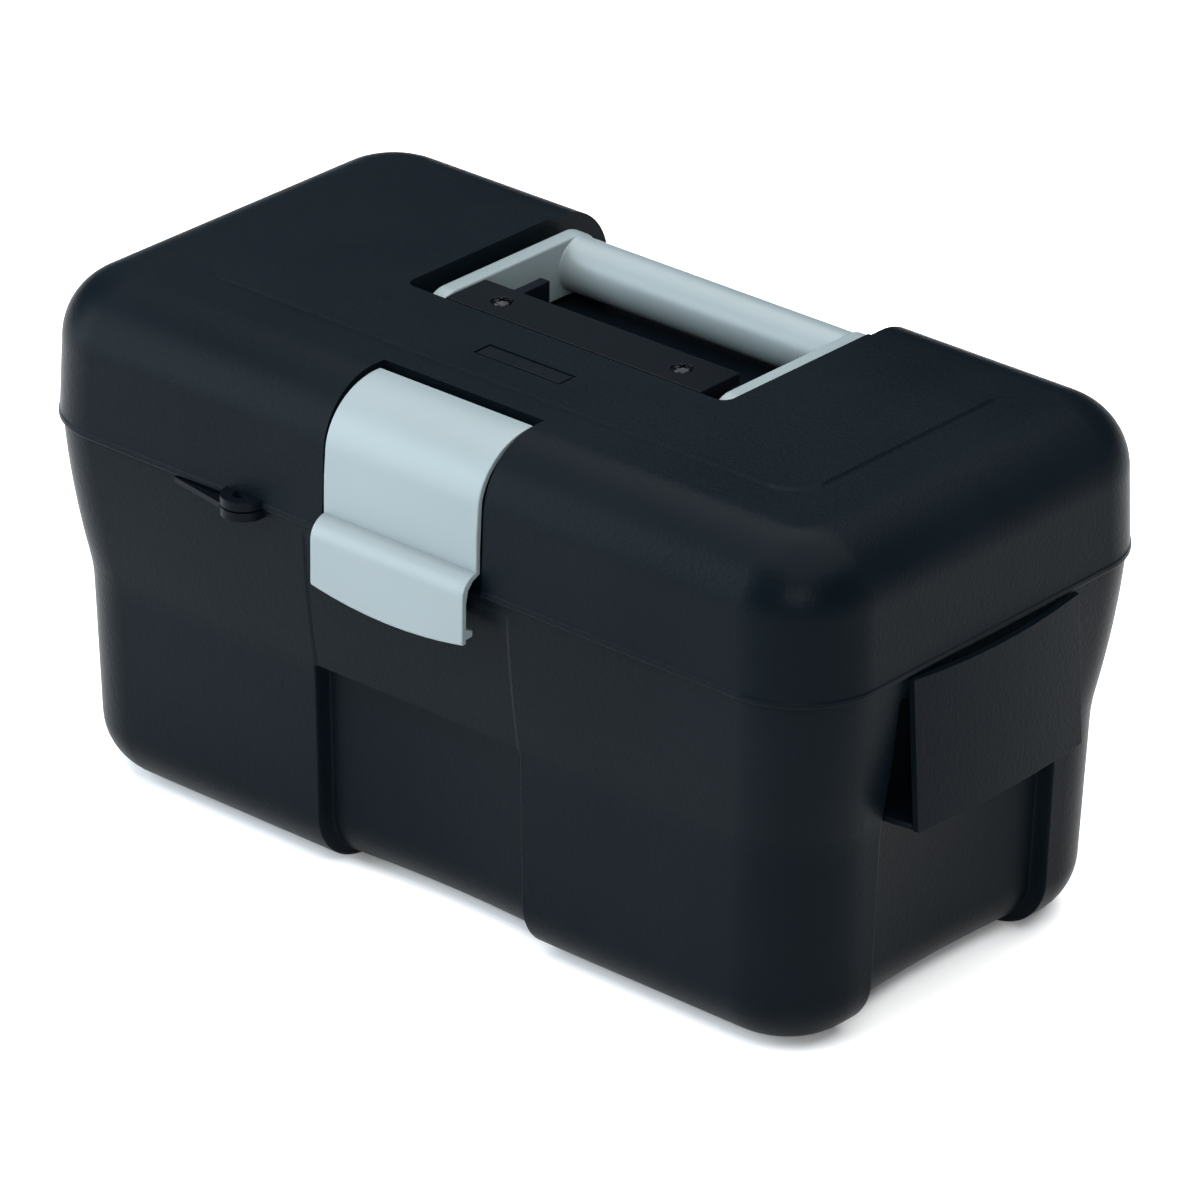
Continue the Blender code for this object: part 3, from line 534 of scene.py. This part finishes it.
def ear_hole():
    return rod_z(EAR_X, EAR_Y - 1 * mm, EAR_HOLE_R, SEAM_Z - 10 * mm, SEAM_Z + 10 * mm)


def make_body_fittings():
    """Padlock ear with its ledge, the latch's keeper, and the hinge knuckles."""
    top = SEAM_Z - 0.4 * mm
    wall_y = -RIM_Y + body_inset(SEAM_Z - EAR_WALL) + WALL / 2
    ear = prism(ear_outline(wall_y), along_z, top - EAR_WALL, top)
    ledge_x0, ledge_x1 = EAR_X - LEDGE_LENGTH, EAR_X - 2 * mm
    ledge = [(ledge_x0, wall_y), (ledge_x0, EAR_Y), (ledge_x1, EAR_Y - 5 * mm), (ledge_x1, wall_y)]
    ledge = prism(ledge, along_z, top - 2 * mm, top - 0.2 * mm)
    bm = combine(ear, (ledge, "UNION"), (ear_hole(), "DIFFERENCE"))
    soften(bm, 0.4 * mm)
    piece("padlock_ear_low", bm, black_smooth, "black_plastic", "box", "body_shell")

    keeper = box((-24 * mm, -RIM_Y - 0.6 * mm, 117 * mm), (24 * mm, wall_y, 121 * mm))
    soften(keeper, 0.6 * mm)
    piece("latch_keeper", keeper, black_smooth, "black_plastic", "box", "body_shell")

    for side in (-1, 1):
        for offset in (-1, 1):
            middle = side * HINGE_X + offset * KNUCKLE_PITCH
            name = f"body_knuckle_{side + 2}_{offset + 2}"
            make_knuckle(name, middle, SEAM_Z - 5 * mm, SEAM_Z - 0.6 * mm, "box", "body_shell")


def make_knuckle(name, middle, low, high, body, node):
    """A hinge knuckle with a bore, on a tab that runs into the wall."""
    x0, x1 = middle - KNUCKLE_HALF, middle + KNUCKLE_HALF
    knuckle = rod_x(HINGE_Y, SEAM_Z, KNUCKLE_R, x0, x1)
    tab = box((x0 + 0.2 * mm, RIM_Y - 2.2 * mm, low), (x1 - 0.2 * mm, HINGE_Y, high))
    bore = rod_x(HINGE_Y, SEAM_Z, HINGE_BORE_R, x0 - 1 * mm, x1 + 1 * mm, 32)
    bm = combine(knuckle, (tab, "UNION"), (bore, "DIFFERENCE"))
    soften(bm, 0.3 * mm)
    piece(name, bm, black_smooth, "black_plastic", body, node)


# ---------------------------------------------------------------- lid

def lid_ring(z, inset, shrink, start):
    draft = LID_DRAFT * (min(max(z, SEAM_Z), start) - SEAM_Z) / 2
    total = inset + shrink + draft
    radius = max(RIM_CORNER - inset - shrink, 5 * mm)
    ring = []
    for index, (sx, sy) in enumerate(((1, -1), (1, 1), (-1, 1), (-1, -1))):
        cx, cy = sx * (RIM_X - total - radius), sy * (RIM_Y - total - radius)
        ring += [(x, y, z) for x, y in arc(cx, cy, radius, index * 90 - 90, index * 90, 16)]
    return ring


def lid_solid(inset, bottom, top, steps=16):
    roll = LID_ROLL - inset
    start = top - roll
    rings = []
    if not inset:
        bead = ((0, 0.35), (0.25, 0.08), (0.6, 0), (1.6, 0), (2.1, 0.1), (2.4, 0.35))
        rings += [lid_ring(bottom + rise * mm, inset, shrink * mm, start) for rise, shrink in bead]
        rings.append(lid_ring(bottom + 8 * mm, inset, 0.35 * mm, start))
    else:
        rings.append(lid_ring(bottom, inset, 0, start))
    settle = 0 if inset else 0.35 * mm
    for step in range(steps + 1):
        angle = math.radians(90 * step / steps)
        shrink = settle + roll * (1 - math.cos(angle))
        rings.append(lid_ring(start + roll * math.sin(angle), inset, shrink, start))
    return loft(rings)


def channel_solid(grow):
    """The latch's channel: a slot in the lid's top, then a step that follows the roll."""
    roll_y = -(RIM_Y - LID_ROLL - 1 * mm)
    roll_z = TOP_Z - LID_ROLL
    radius = LID_ROLL - CHANNEL_DEPTH - grow
    floor = SLOT_FLOOR_Z - grow
    start = 180 - math.degrees(math.asin((floor - roll_z) / radius))
    curve = arc(roll_y, roll_z, radius, start, 180, 14)
    far_y, far_z = -0.12, TOP_Z + 20 * mm
    outline = [
        (SLOT_REAR_Y + grow, far_z), (SLOT_REAR_Y + grow, floor), *curve,
        (roll_y - radius - 1 * mm, SEAM_Z - 20 * mm), (far_y, SEAM_Z - 20 * mm), (far_y, far_z),
    ]
    half = CHANNEL_HALF_X + grow
    return prism(outline, along_x, -half, half)


def notch_solid(grow):
    half_x, front, rear = NOTCH_HALF_X + grow, NOTCH_FRONT_Y - grow, 0.13
    radius = NOTCH_CORNER + grow
    outline = arc(half_x - radius, front + radius, radius, -90, 0, 8)
    outline += [(half_x, rear), (-half_x, rear)]
    outline += arc(-half_x + radius, front + radius, radius, 180, 270, 8)
    return prism(outline, along_z, NOTCH_FLOOR_Z - grow, TOP_Z + 20 * mm)


def plateau_solid():
    """The raised field on the lid's top, with rounded front corners."""
    radius = 12 * mm
    low, high = TOP_Z - PLATEAU_RISE - 1 * mm, TOP_Z
    rings = []
    for z, shrink in ((low, -1 * mm), (TOP_Z - PLATEAU_RISE, 0), (high, PLATEAU_RISE)):
        x, front, back = PLATEAU_X - shrink, PLATEAU_FRONT_Y + shrink, 58 * mm - shrink
        outline = arc(x - radius, front + radius, radius, -90, 0, 8)
        outline += arc(x - radius, back - radius, radius, 0, 90, 8)
        outline += arc(-x + radius, back - radius, radius, 90, 180, 8)
        outline += arc(-x + radius, front + radius, radius, 180, 270, 8)
        rings.append([(px, py, z) for px, py in outline])
    return loft(rings)


def plaque_box(inset, below, above):
    """A box on the plaque's outline, drawn in by inset, from below to above the lid's top."""
    x, y, half_x, half_y = PLAQUE
    half_x, half_y = half_x - inset, half_y - inset
    return box((x - half_x, y - half_y, TOP_Z - below), (x + half_x, y + half_y, TOP_Z + above))


def make_lid():
    rim = SEAM_Z + 0.2 * mm
    outside = lid_solid(0, rim, TOP_Z - PLATEAU_RISE)
    outside = combine(
        outside, (plateau_solid(), "UNION"), (channel_solid(0), "DIFFERENCE"), (notch_solid(0), "DIFFERENCE"))
    soften(outside, 1 * mm, angle=50, keep=lambda e: max(v.co.z for v in e.verts) < rim + 1 * mm)
    inside = lid_solid(WALL, rim - 10 * mm, TOP_Z - WALL, 10)
    inside = combine(inside, (channel_solid(WALL), "DIFFERENCE"), (notch_solid(WALL), "DIFFERENCE"))
    shell = combine(outside, (inside, "DIFFERENCE"))
    bmesh.ops.remove_doubles(shell, verts=shell.verts, dist=0.00001)
    shell = combine(shell, (plaque_box(0, PLAQUE_RISE, 1 * mm), "DIFFERENCE"))
    piece("lid_casing", shell, black, "black_plastic", "lid", "lid_shell", sharp=40)


def make_lid_fittings():
    rim = SEAM_Z + 0.2 * mm
    ear = prism(ear_outline(-RIM_Y + WALL / 2), along_z, rim, rim + EAR_WALL)
    ear = combine(ear, (ear_hole(), "DIFFERENCE"))
    soften(ear, 0.4 * mm)
    piece("padlock_ear_high", ear, black_smooth, "black_plastic", "lid", "lid_shell")
    for side in (-1, 1):
        name = f"lid_knuckle_{side + 2}"
        make_knuckle(name, side * HINGE_X, SEAM_Z + 0.6 * mm, SEAM_Z + 2.9 * mm, "lid", "lid_shell")
        x = side * (strip_high.x - 4 * mm)
        low = NOTCH_FLOOR_Z - 1 * mm
        saddle = box((x - 5 * mm, -6 * mm, low), (x + 5 * mm, 8 * mm, HANDLE_Z - HANDLE_PIN_R - 0.3 * mm))
        soften(saddle, 0.5 * mm)
        piece(f"pin_saddle_{side + 2}", saddle, black_smooth, "black_plastic", "lid", "lid_shell")
        x = side * SCREW_X
        half = SCREW_POST_HALF
        post = box((x - half, SCREW_Y - half, low), (x + half, SCREW_Y + half, strip_high.z - 4.3 * mm))
        soften(post, 0.5 * mm)
        piece(f"screw_post_{side + 2}", post, black_smooth, "black_plastic", "lid", "lid_shell")
        x0, x1 = sorted((side * (LATCH_HALF_X - 2.5 * mm), side * (CHANNEL_HALF_X + 0.5 * mm)))
        lug = rod_x(LATCH_PIVOT.y, LATCH_PIVOT.z, LATCH_KNUCKLE_R - 0.1 * mm, x0, x1)
        foot = box((x0 + 0.2 * mm, LATCH_PIVOT.y - 2.5 * mm, SLOT_FLOOR_Z - 1 * mm), (
            x1 - 0.2 * mm, LATCH_PIVOT.y + 1 * mm, LATCH_PIVOT.z - 0.2 * mm))
        lug = combine(lug, (foot, "UNION"))
        soften(lug, 0.3 * mm)
        piece(f"latch_lug_{side + 2}", lug, black_smooth, "black_plastic", "lid", "lid_shell")


def make_plaque():
    """A plain plate in a sunk frame on the lid's top."""
    plaque = plaque_box(PLAQUE_GAP, 1 * mm, 0)
    soften(plaque, 0.3 * mm)
    piece("blank_plaque", plaque, black_smooth, "black_plastic", "lid", "lid_shell")


# ---------------------------------------------------------------- latch

def latch_curve(start, depth):
    """The latch's curve over the lid's roll in side view, from its top edge to the front."""
    roll_y = -(RIM_Y - LID_ROLL - 1 * mm)
    roll_z = TOP_Z - LID_ROLL
    points = []
    for step in range(29):
        angle = math.radians(start + (180 - start) * step / 28)
        radius = LID_ROLL + LATCH_PROUD - LATCH_SINK * math.sin(angle) ** 2 - depth
        points.append((roll_y + radius * math.cos(angle), roll_z + radius * math.sin(angle)))
    return points


def latch_section(x):
    """Side view of the latch at one place across it: outer face then inner face."""
    roll_y = -(RIM_Y - LID_ROLL - 1 * mm)
    start = 90 - math.degrees(math.asin((LATCH_TOP_Y - roll_y) / LID_ROLL))
    face_y = roll_y - LID_ROLL - LATCH_PROUD - 0.6 * mm
    lip_y = latch_low.y
    bottom = latch_low.z + LATCH_BOW * (x / LATCH_HALF_X) ** 2
    bend = 7.2 * mm
    turn = math.degrees(math.acos((lip_y + bend - face_y) / bend))
    bend_z = SHOULDER_Z - bend * math.sin(math.radians(turn))
    outer = latch_curve(start, 0)
    outer += [(face_y + 0.1 * mm, 148 * mm), (face_y, 142 * mm), (face_y, SHOULDER_Z + 1 * mm)]
    outer += [(face_y, SHOULDER_Z + 0.3 * mm), *arc(lip_y + bend, bend_z, bend, 180 - turn, 180, 10)]
    outer += [(lip_y, 122 * mm), (lip_y, 116 * mm), (lip_y, bottom + 0.9 * mm)]
    outer += [(lip_y + 0.3 * mm, bottom + 0.25 * mm), (lip_y + 0.9 * mm, bottom)]
    back = lip_y + LATCH_WALL
    hook_y = lip_y + 5 * mm
    inner = [(back - 0.5 * mm, bottom), (back, bottom + 0.5 * mm), (back, 113.6 * mm)]
    inner += [(lip_y + 4.6 * mm, 113.8 * mm), (hook_y, 114.2 * mm), (hook_y, 115.8 * mm), (back, 117.5 * mm)]
    inner += [(back, 126 * mm), (back + 0.8 * mm, 130 * mm), (back + 3 * mm, 132.6 * mm)]
    inner += [(face_y + LATCH_WALL, 134 * mm), (face_y + LATCH_WALL, 142 * mm)]
    inner += latch_curve(start, LATCH_WALL)[::-1]
    return outer + inner


def make_latch():
    marks = [-1, -0.94, -0.85, -0.7, -0.5, -0.25, 0, 0.25, 0.5, 0.7, 0.85, 0.94, 1]
    places = [LATCH_HALF_X * mark for mark in marks]
    plate = loft([[(x, y, z) for y, z in latch_section(x)] for x in places])
    bmesh.ops.recalc_face_normals(plate, faces=plate.faces)
    ends = [e for e in plate.edges if abs(abs(e.verts[0].co.x) - LATCH_HALF_X) < 1e-6
            and abs(e.verts[0].co.x - e.verts[1].co.x) < 1e-6]
    bmesh.ops.bevel(
        plate, geom=ends, offset=0.6 * mm, segments=3, profile=0.5, affect="EDGES", clamp_overlap=True)
    piece("latch_plate", plate, grey, "light_grey_plastic", "latch", "latch", sharp=50)
    half = LATCH_HALF_X - 2.9 * mm
    knuckle = rod_x(LATCH_PIVOT.y, LATCH_PIVOT.z, LATCH_KNUCKLE_R, -half, half)
    web = box((-half + 0.1 * mm, LATCH_PIVOT.y - 2 * mm, LATCH_PIVOT.z), (
        half - 0.1 * mm, LATCH_PIVOT.y + 2 * mm, LATCH_PIVOT.z + 3.9 * mm))
    bore = rod_x(LATCH_PIVOT.y, LATCH_PIVOT.z, 1.8 * mm, -half - 1 * mm, half + 1 * mm, 32)
    knuckle = combine(knuckle, (web, "UNION"), (bore, "DIFFERENCE"))
    piece("latch_knuckle", knuckle, grey, "light_grey_plastic", "latch", "latch")


# ---------------------------------------------------------------- handle

def make_handle():
    outline = arc(GRIP_Y, HANDLE_Z, ARM_R, -90, 90, 32) + arc(PIVOT_Y, HANDLE_Z, ARM_R, 90, 270, 32)
    for side, name in ((-1, "left"), (1, "right")):
        x0, x1 = sorted((side * ARM_INNER_X, side * ARM_OUTER_X))
        hole = rod_x(PIVOT_Y, HANDLE_Z, HANDLE_PIN_R + 0.3 * mm, x0 - 1 * mm, x1 + 1 * mm)
        arm = combine(prism(outline, along_x, x0, x1), (hole, "DIFFERENCE"))
        soften(arm, 0.9 * mm)
        piece(f"arm_{name}", arm, grey, "light_grey_plastic", "handle", f"handle_arm_{name}")
    half = ARM_INNER_X
    flare = ((0.2, 0.5), (-0.3, 0.15), (-1.2, 0))      # past the half length and the radius, in mm
    flare = [(half + reach * mm, GRIP_R + grow * mm) for reach, grow in flare]
    profile = flare + [(half * share, GRIP_R) for share in (0.6, 0.2, -0.2, -0.6)]
    profile += [(-x, radius) for x, radius in flare[::-1]]
    last = 360 * 63 / 64           # the ring's last corner comes just before its first
    rings = [[(x, y, z) for y, z in arc(GRIP_Y, HANDLE_Z, radius, 0, last, 63)] for x, radius in profile[::-1]]
    grip = loft(rings)
    bmesh.ops.recalc_face_normals(grip, faces=grip.faces)
    piece("grip", grip, grey, "light_grey_plastic", "handle", "handle_grip")


def make_retainer():
    """The strip over the handle's pins with its clamps, and the stop behind it."""
    strip = box((strip_low.x, strip_low.y, strip_high.z - 4 * mm), strip_high)
    for x in (-SCREW_X, SCREW_X):
        well = rod_z(x, SCREW_Y, SCREW_HEAD_R + 0.5 * mm, strip_high.z - 0.5 * mm, strip_high.z + 3 * mm)
        strip = combine(strip, (well, "DIFFERENCE"))
    soften(strip, 0.45 * mm)
    piece("retainer_strip", strip, gloss, "gloss_black_plastic", "lid", "handle_retainer")
    for side in (-1, 1):
        x0, x1 = sorted((side * (strip_high.x - 9 * mm), side * (strip_high.x - 0.2 * mm)))
        clamp = box((x0, -6 * mm, HANDLE_Z + HANDLE_PIN_R + 0.3 * mm), (x1, 8 * mm, strip_high.z - 3 * mm))
        soften(clamp, 0.4 * mm)
        piece(f"retainer_clamp_{side + 2}", clamp, gloss, "gloss_black_plastic", "lid", "handle_retainer")
    stop_low = (NOTCH_STOP_X[0], strip_high.y - 0.5 * mm, NOTCH_FLOOR_Z - 1 * mm)
    stop = box(stop_low, (NOTCH_STOP_X[1], strip_high.y + NOTCH_STOP_REACH, strip_high.z))
    soften(stop, 0.4 * mm)
    piece("notch_stop", stop, black_smooth, "black_plastic", "lid", "lid_shell")


def make_screws():
    top = strip_high.z + 0.7 * mm
    for side, name in ((-1, "left"), (1, "right")):
        x = side * SCREW_X
        profile = [(0.2, 0), (1.5, -0.05), (2.4, -0.3), (2.9, -0.75), (3.1, -1.2)]
        rings = [[(px, py, top + drop * mm) for px, py in arc(x, SCREW_Y, radius * mm, 0, 348.75, 31)]
                 for radius, drop in profile[::-1]]
        head = loft(rings)
        for reach_x, reach_y in ((0.45, 1.7), (1.7, 0.45)):
            slot = box((x - reach_x * mm, SCREW_Y - reach_y * mm, top - 0.8 * mm), (
                x + reach_x * mm, SCREW_Y + reach_y * mm, top + 1 * mm))
            head = combine(head, (slot, "DIFFERENCE"))
        node = f"retainer_screw_{name}"
        piece(f"screw_head_{name}", head, black_steel, "black_steel", "lid", node, sharp=35)


# ---------------------------------------------------------------- tray

def tray_half(z):
    grow = TRAY_DRAFT * (z - tray_low.z)
    top_x, top_y = tray_high.x, tray_high.y
    drop = TRAY_DRAFT * (tray_high.z - tray_low.z)
    return top_x - drop + grow, top_y - drop + grow


def tray_ring(z, inset, wall):
    half_x, half_y = tray_half(z)
    radius = TRAY_CORNER - inset - wall
    ring = []
    for index, (sx, sy) in enumerate(((1, -1), (1, 1), (-1, 1), (-1, -1))):
        cx, cy = sx * (half_x - inset - wall - radius), sy * (half_y - inset - wall - radius)
        ring += [(x, y, z) for x, y in arc(cx, cy, radius, index * 90 - 90, index * 90, 12)]
    return ring


def make_tray():
    bottom, top = tray_low.z, tray_high.z
    roll = 3 * mm
    floor = bottom + TRAY_WALL
    angles = [math.radians(a) for a in range(0, 91, 15)]
    curve = [(roll * (1 - math.cos(a)), roll * (1 - math.sin(a))) for a in angles]
    edge = ((0.5, 0), (0.15, 0.15), (0, 0.5))      # drop below the rim and rounding, in mm
    outer = [tray_ring(bottom + rise, inset, 0) for rise, inset in curve]
    outer += [tray_ring(top - drop * mm, inset * mm, 0) for drop, inset in edge]
    inner = [tray_ring(floor + rise, inset, TRAY_WALL) for rise, inset in curve]
    inner += [tray_ring(top - drop * mm, -inset * mm, TRAY_WALL) for drop, inset in edge]
    shell = loft(outer + inner[::-1])
    piece("tray_pan", shell, tray_grey, "dark_grey_plastic", "tray", "tray_shell")

    half_x, half_y = tray_half(bottom)
    spine_low = (-half_x + 1 * mm, SPINE_Y - 1 * mm, floor - 1 * mm)
    spine = box(spine_low, (half_x - 1 * mm, SPINE_Y + 1 * mm, SPINE_TOP_Z))
    soften(spine, 0.4 * mm)
    piece("tray_spine", spine, tray_grey, "dark_grey_plastic", "tray", "tray_shell")

    rear = half_y - TRAY_WALL
    ribs = (("spine", SPINE_Y + 0.5 * mm, SPINE_Y + 3.5 * mm), ("wall", rear - 2.5 * mm, rear + 2 * mm))
    for number in range(1, 5):
        low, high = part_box(f"tray_divider_{number}")
        plate = box(low, high)
        soften(plate, 0.35 * mm)
        piece(f"divider_{number}", plate, grey, "light_grey_plastic", "tray", f"tray_divider_{number}")
        x = (low.x + high.x) / 2
        for place, y0, y1 in ribs:
            for side in (-1, 1):
                x0, x1 = sorted((x + side * 1.1 * mm, x + side * 2.6 * mm))
                rib = box((x0, y0, floor - 1 * mm), (x1, y1, SPINE_TOP_Z - 3 * mm))
                soften(rib, 0.3 * mm)
                name = f"tray_rib_{number}_{place}_{side + 2}"
                piece(name, rib, tray_grey, "dark_grey_plastic", "tray", "tray_shell")


def make_tray_handle():
    half = tray_handle_high.x
    radius = (tray_handle_high.y - tray_handle_low.y) / 2
    bar_z = tray_handle_high.z - radius
    bar = rod_x(SPINE_Y, bar_z, radius, -half, half)
    steps = []
    for side in (-1, 1):
        x0, x1 = sorted((side * (half - 14 * mm), side * (half - 1 * mm)))
        leg = box((x0, SPINE_Y - 3.4 * mm, tray_handle_low.z), (x1, SPINE_Y + 3.4 * mm, bar_z))
        slot = box((x0 - 1 * mm, SPINE_Y - 1.3 * mm, tray_handle_low.z - 1 * mm), (
            x1 + 1 * mm, SPINE_Y + 1.3 * mm, SPINE_TOP_Z + 0.3 * mm))
        steps += [(leg, "UNION"), (slot, "DIFFERENCE")]
    handle = combine(bar, *steps)
    soften(handle, 0.7 * mm)
    piece("tray_grip", handle, grey, "light_grey_plastic", "tray", "tray_handle")


# ---------------------------------------------------------------- stage, light and camera

def make_floor():
    bm = bmesh.new()
    bmesh.ops.create_grid(bm, x_segments=2, y_segments=2, size=6)
    mesh = bpy.data.meshes.new("floor")
    bm.to_mesh(mesh)
    bm.free()
    floor = bpy.data.objects.new("floor", mesh)
    bpy.context.scene.collection.objects.link(floor)
    floor.location.z = cad_box[0].z - 0.2 * mm
    material, tree, shader = node_material("floor_paper")
    shader.inputs["Base Color"].default_value = (0.93, 0.93, 0.93, 1)
    shader.inputs["Roughness"].default_value = 0.9
    shader.inputs["Specular IOR Level"].default_value = 0.1
    mesh.materials.append(material)


def make_area_light(name, place, target, size, power, color=(1, 1, 1)):
    data = bpy.data.lights.new(name, "AREA")
    data.shape = "RECTANGLE"
    data.size, data.size_y = size
    data.energy = power
    data.color = color
    lamp = bpy.data.objects.new(name, data)
    bpy.context.scene.collection.objects.link(lamp)
    lamp.location = place
    lamp.rotation_mode = "QUATERNION"
    lamp.rotation_quaternion = (Vector(target) - Vector(place)).to_track_quat("-Z", "Y")


def make_world(strength):
    world = bpy.data.worlds.new("studio")
    world.use_nodes = True
    background = world.node_tree.nodes["Background"]
    background.inputs["Color"].default_value = (0.85, 0.92, 1.0, 1)
    background.inputs["Strength"].default_value = strength
    bpy.context.scene.world = world


def make_camera():
    """A long lens from the front right, above the box."""
    azimuth, elevation, roll = (math.radians(a) for a in (40.777, 26.337, 0.742))
    level_reach = math.cos(elevation)
    back = Vector((math.sin(azimuth) * level_reach, -math.cos(azimuth) * level_reach, math.sin(elevation)))
    level = Vector((math.cos(azimuth), math.sin(azimuth), 0))
    upright = back.cross(level)
    right = math.cos(roll) * level + math.sin(roll) * upright
    data = bpy.data.cameras.new("camera")
    data.sensor_width = 36
    data.lens = 239.9
    data.shift_x, data.shift_y = 0.01267, 0.00751
    data.clip_start, data.clip_end = 0.05, 30
    camera = bpy.data.objects.new("camera", data)
    bpy.context.scene.collection.objects.link(camera)
    place = Vector((0, 0, 80 * mm)) + back * 2.54986
    turn = Matrix((right, back.cross(right), back)).transposed()
    camera.matrix_world = Matrix.Translation(place) @ turn.to_4x4()
    bpy.context.scene.camera = camera


make_camera()
make_floor()
make_world(0.03)
make_area_light("top_softbox", (0.1, 0.0, 1.5), (0.1, 0.0, 0), (2.6, 2.4), 100)
make_area_light("left_softbox", (-1.1, -1.0, 0.55), (0, 0, 0.08), (1.2, 1.2), 44, (0.82, 0.92, 1.0))
make_area_light("front_fill", (1.5, -1.9, 1.1), (0, 0, 0.1), (0.9, 0.9), 36)
make_area_light("right_softbox", (1.2, 1.0, 0.5), (0, 0, 0.08), (1.0, 1.0), 3, (0.8, 0.9, 1.0))
make_area_light("back_softbox", (-1.4, 1.0, 0.8), (0, 0, 0.15), (1.0, 0.8), 1.0, (0.7, 0.85, 1.0))

make_body()
make_brackets()
make_body_fittings()
make_lid()
make_lid_fittings()
make_plaque()
make_latch()
make_handle()
make_retainer()
make_screws()
make_tray()
make_tray_handle()
for pin in ("hinge_pin_left", "hinge_pin_right", "latch_pin", "handle_pin_left", "handle_pin_right"):
    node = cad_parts[pin]
    node.data.materials.clear()
    node.data.materials.append(steel)

bpy.context.scene.view_settings.view_transform = "Standard"
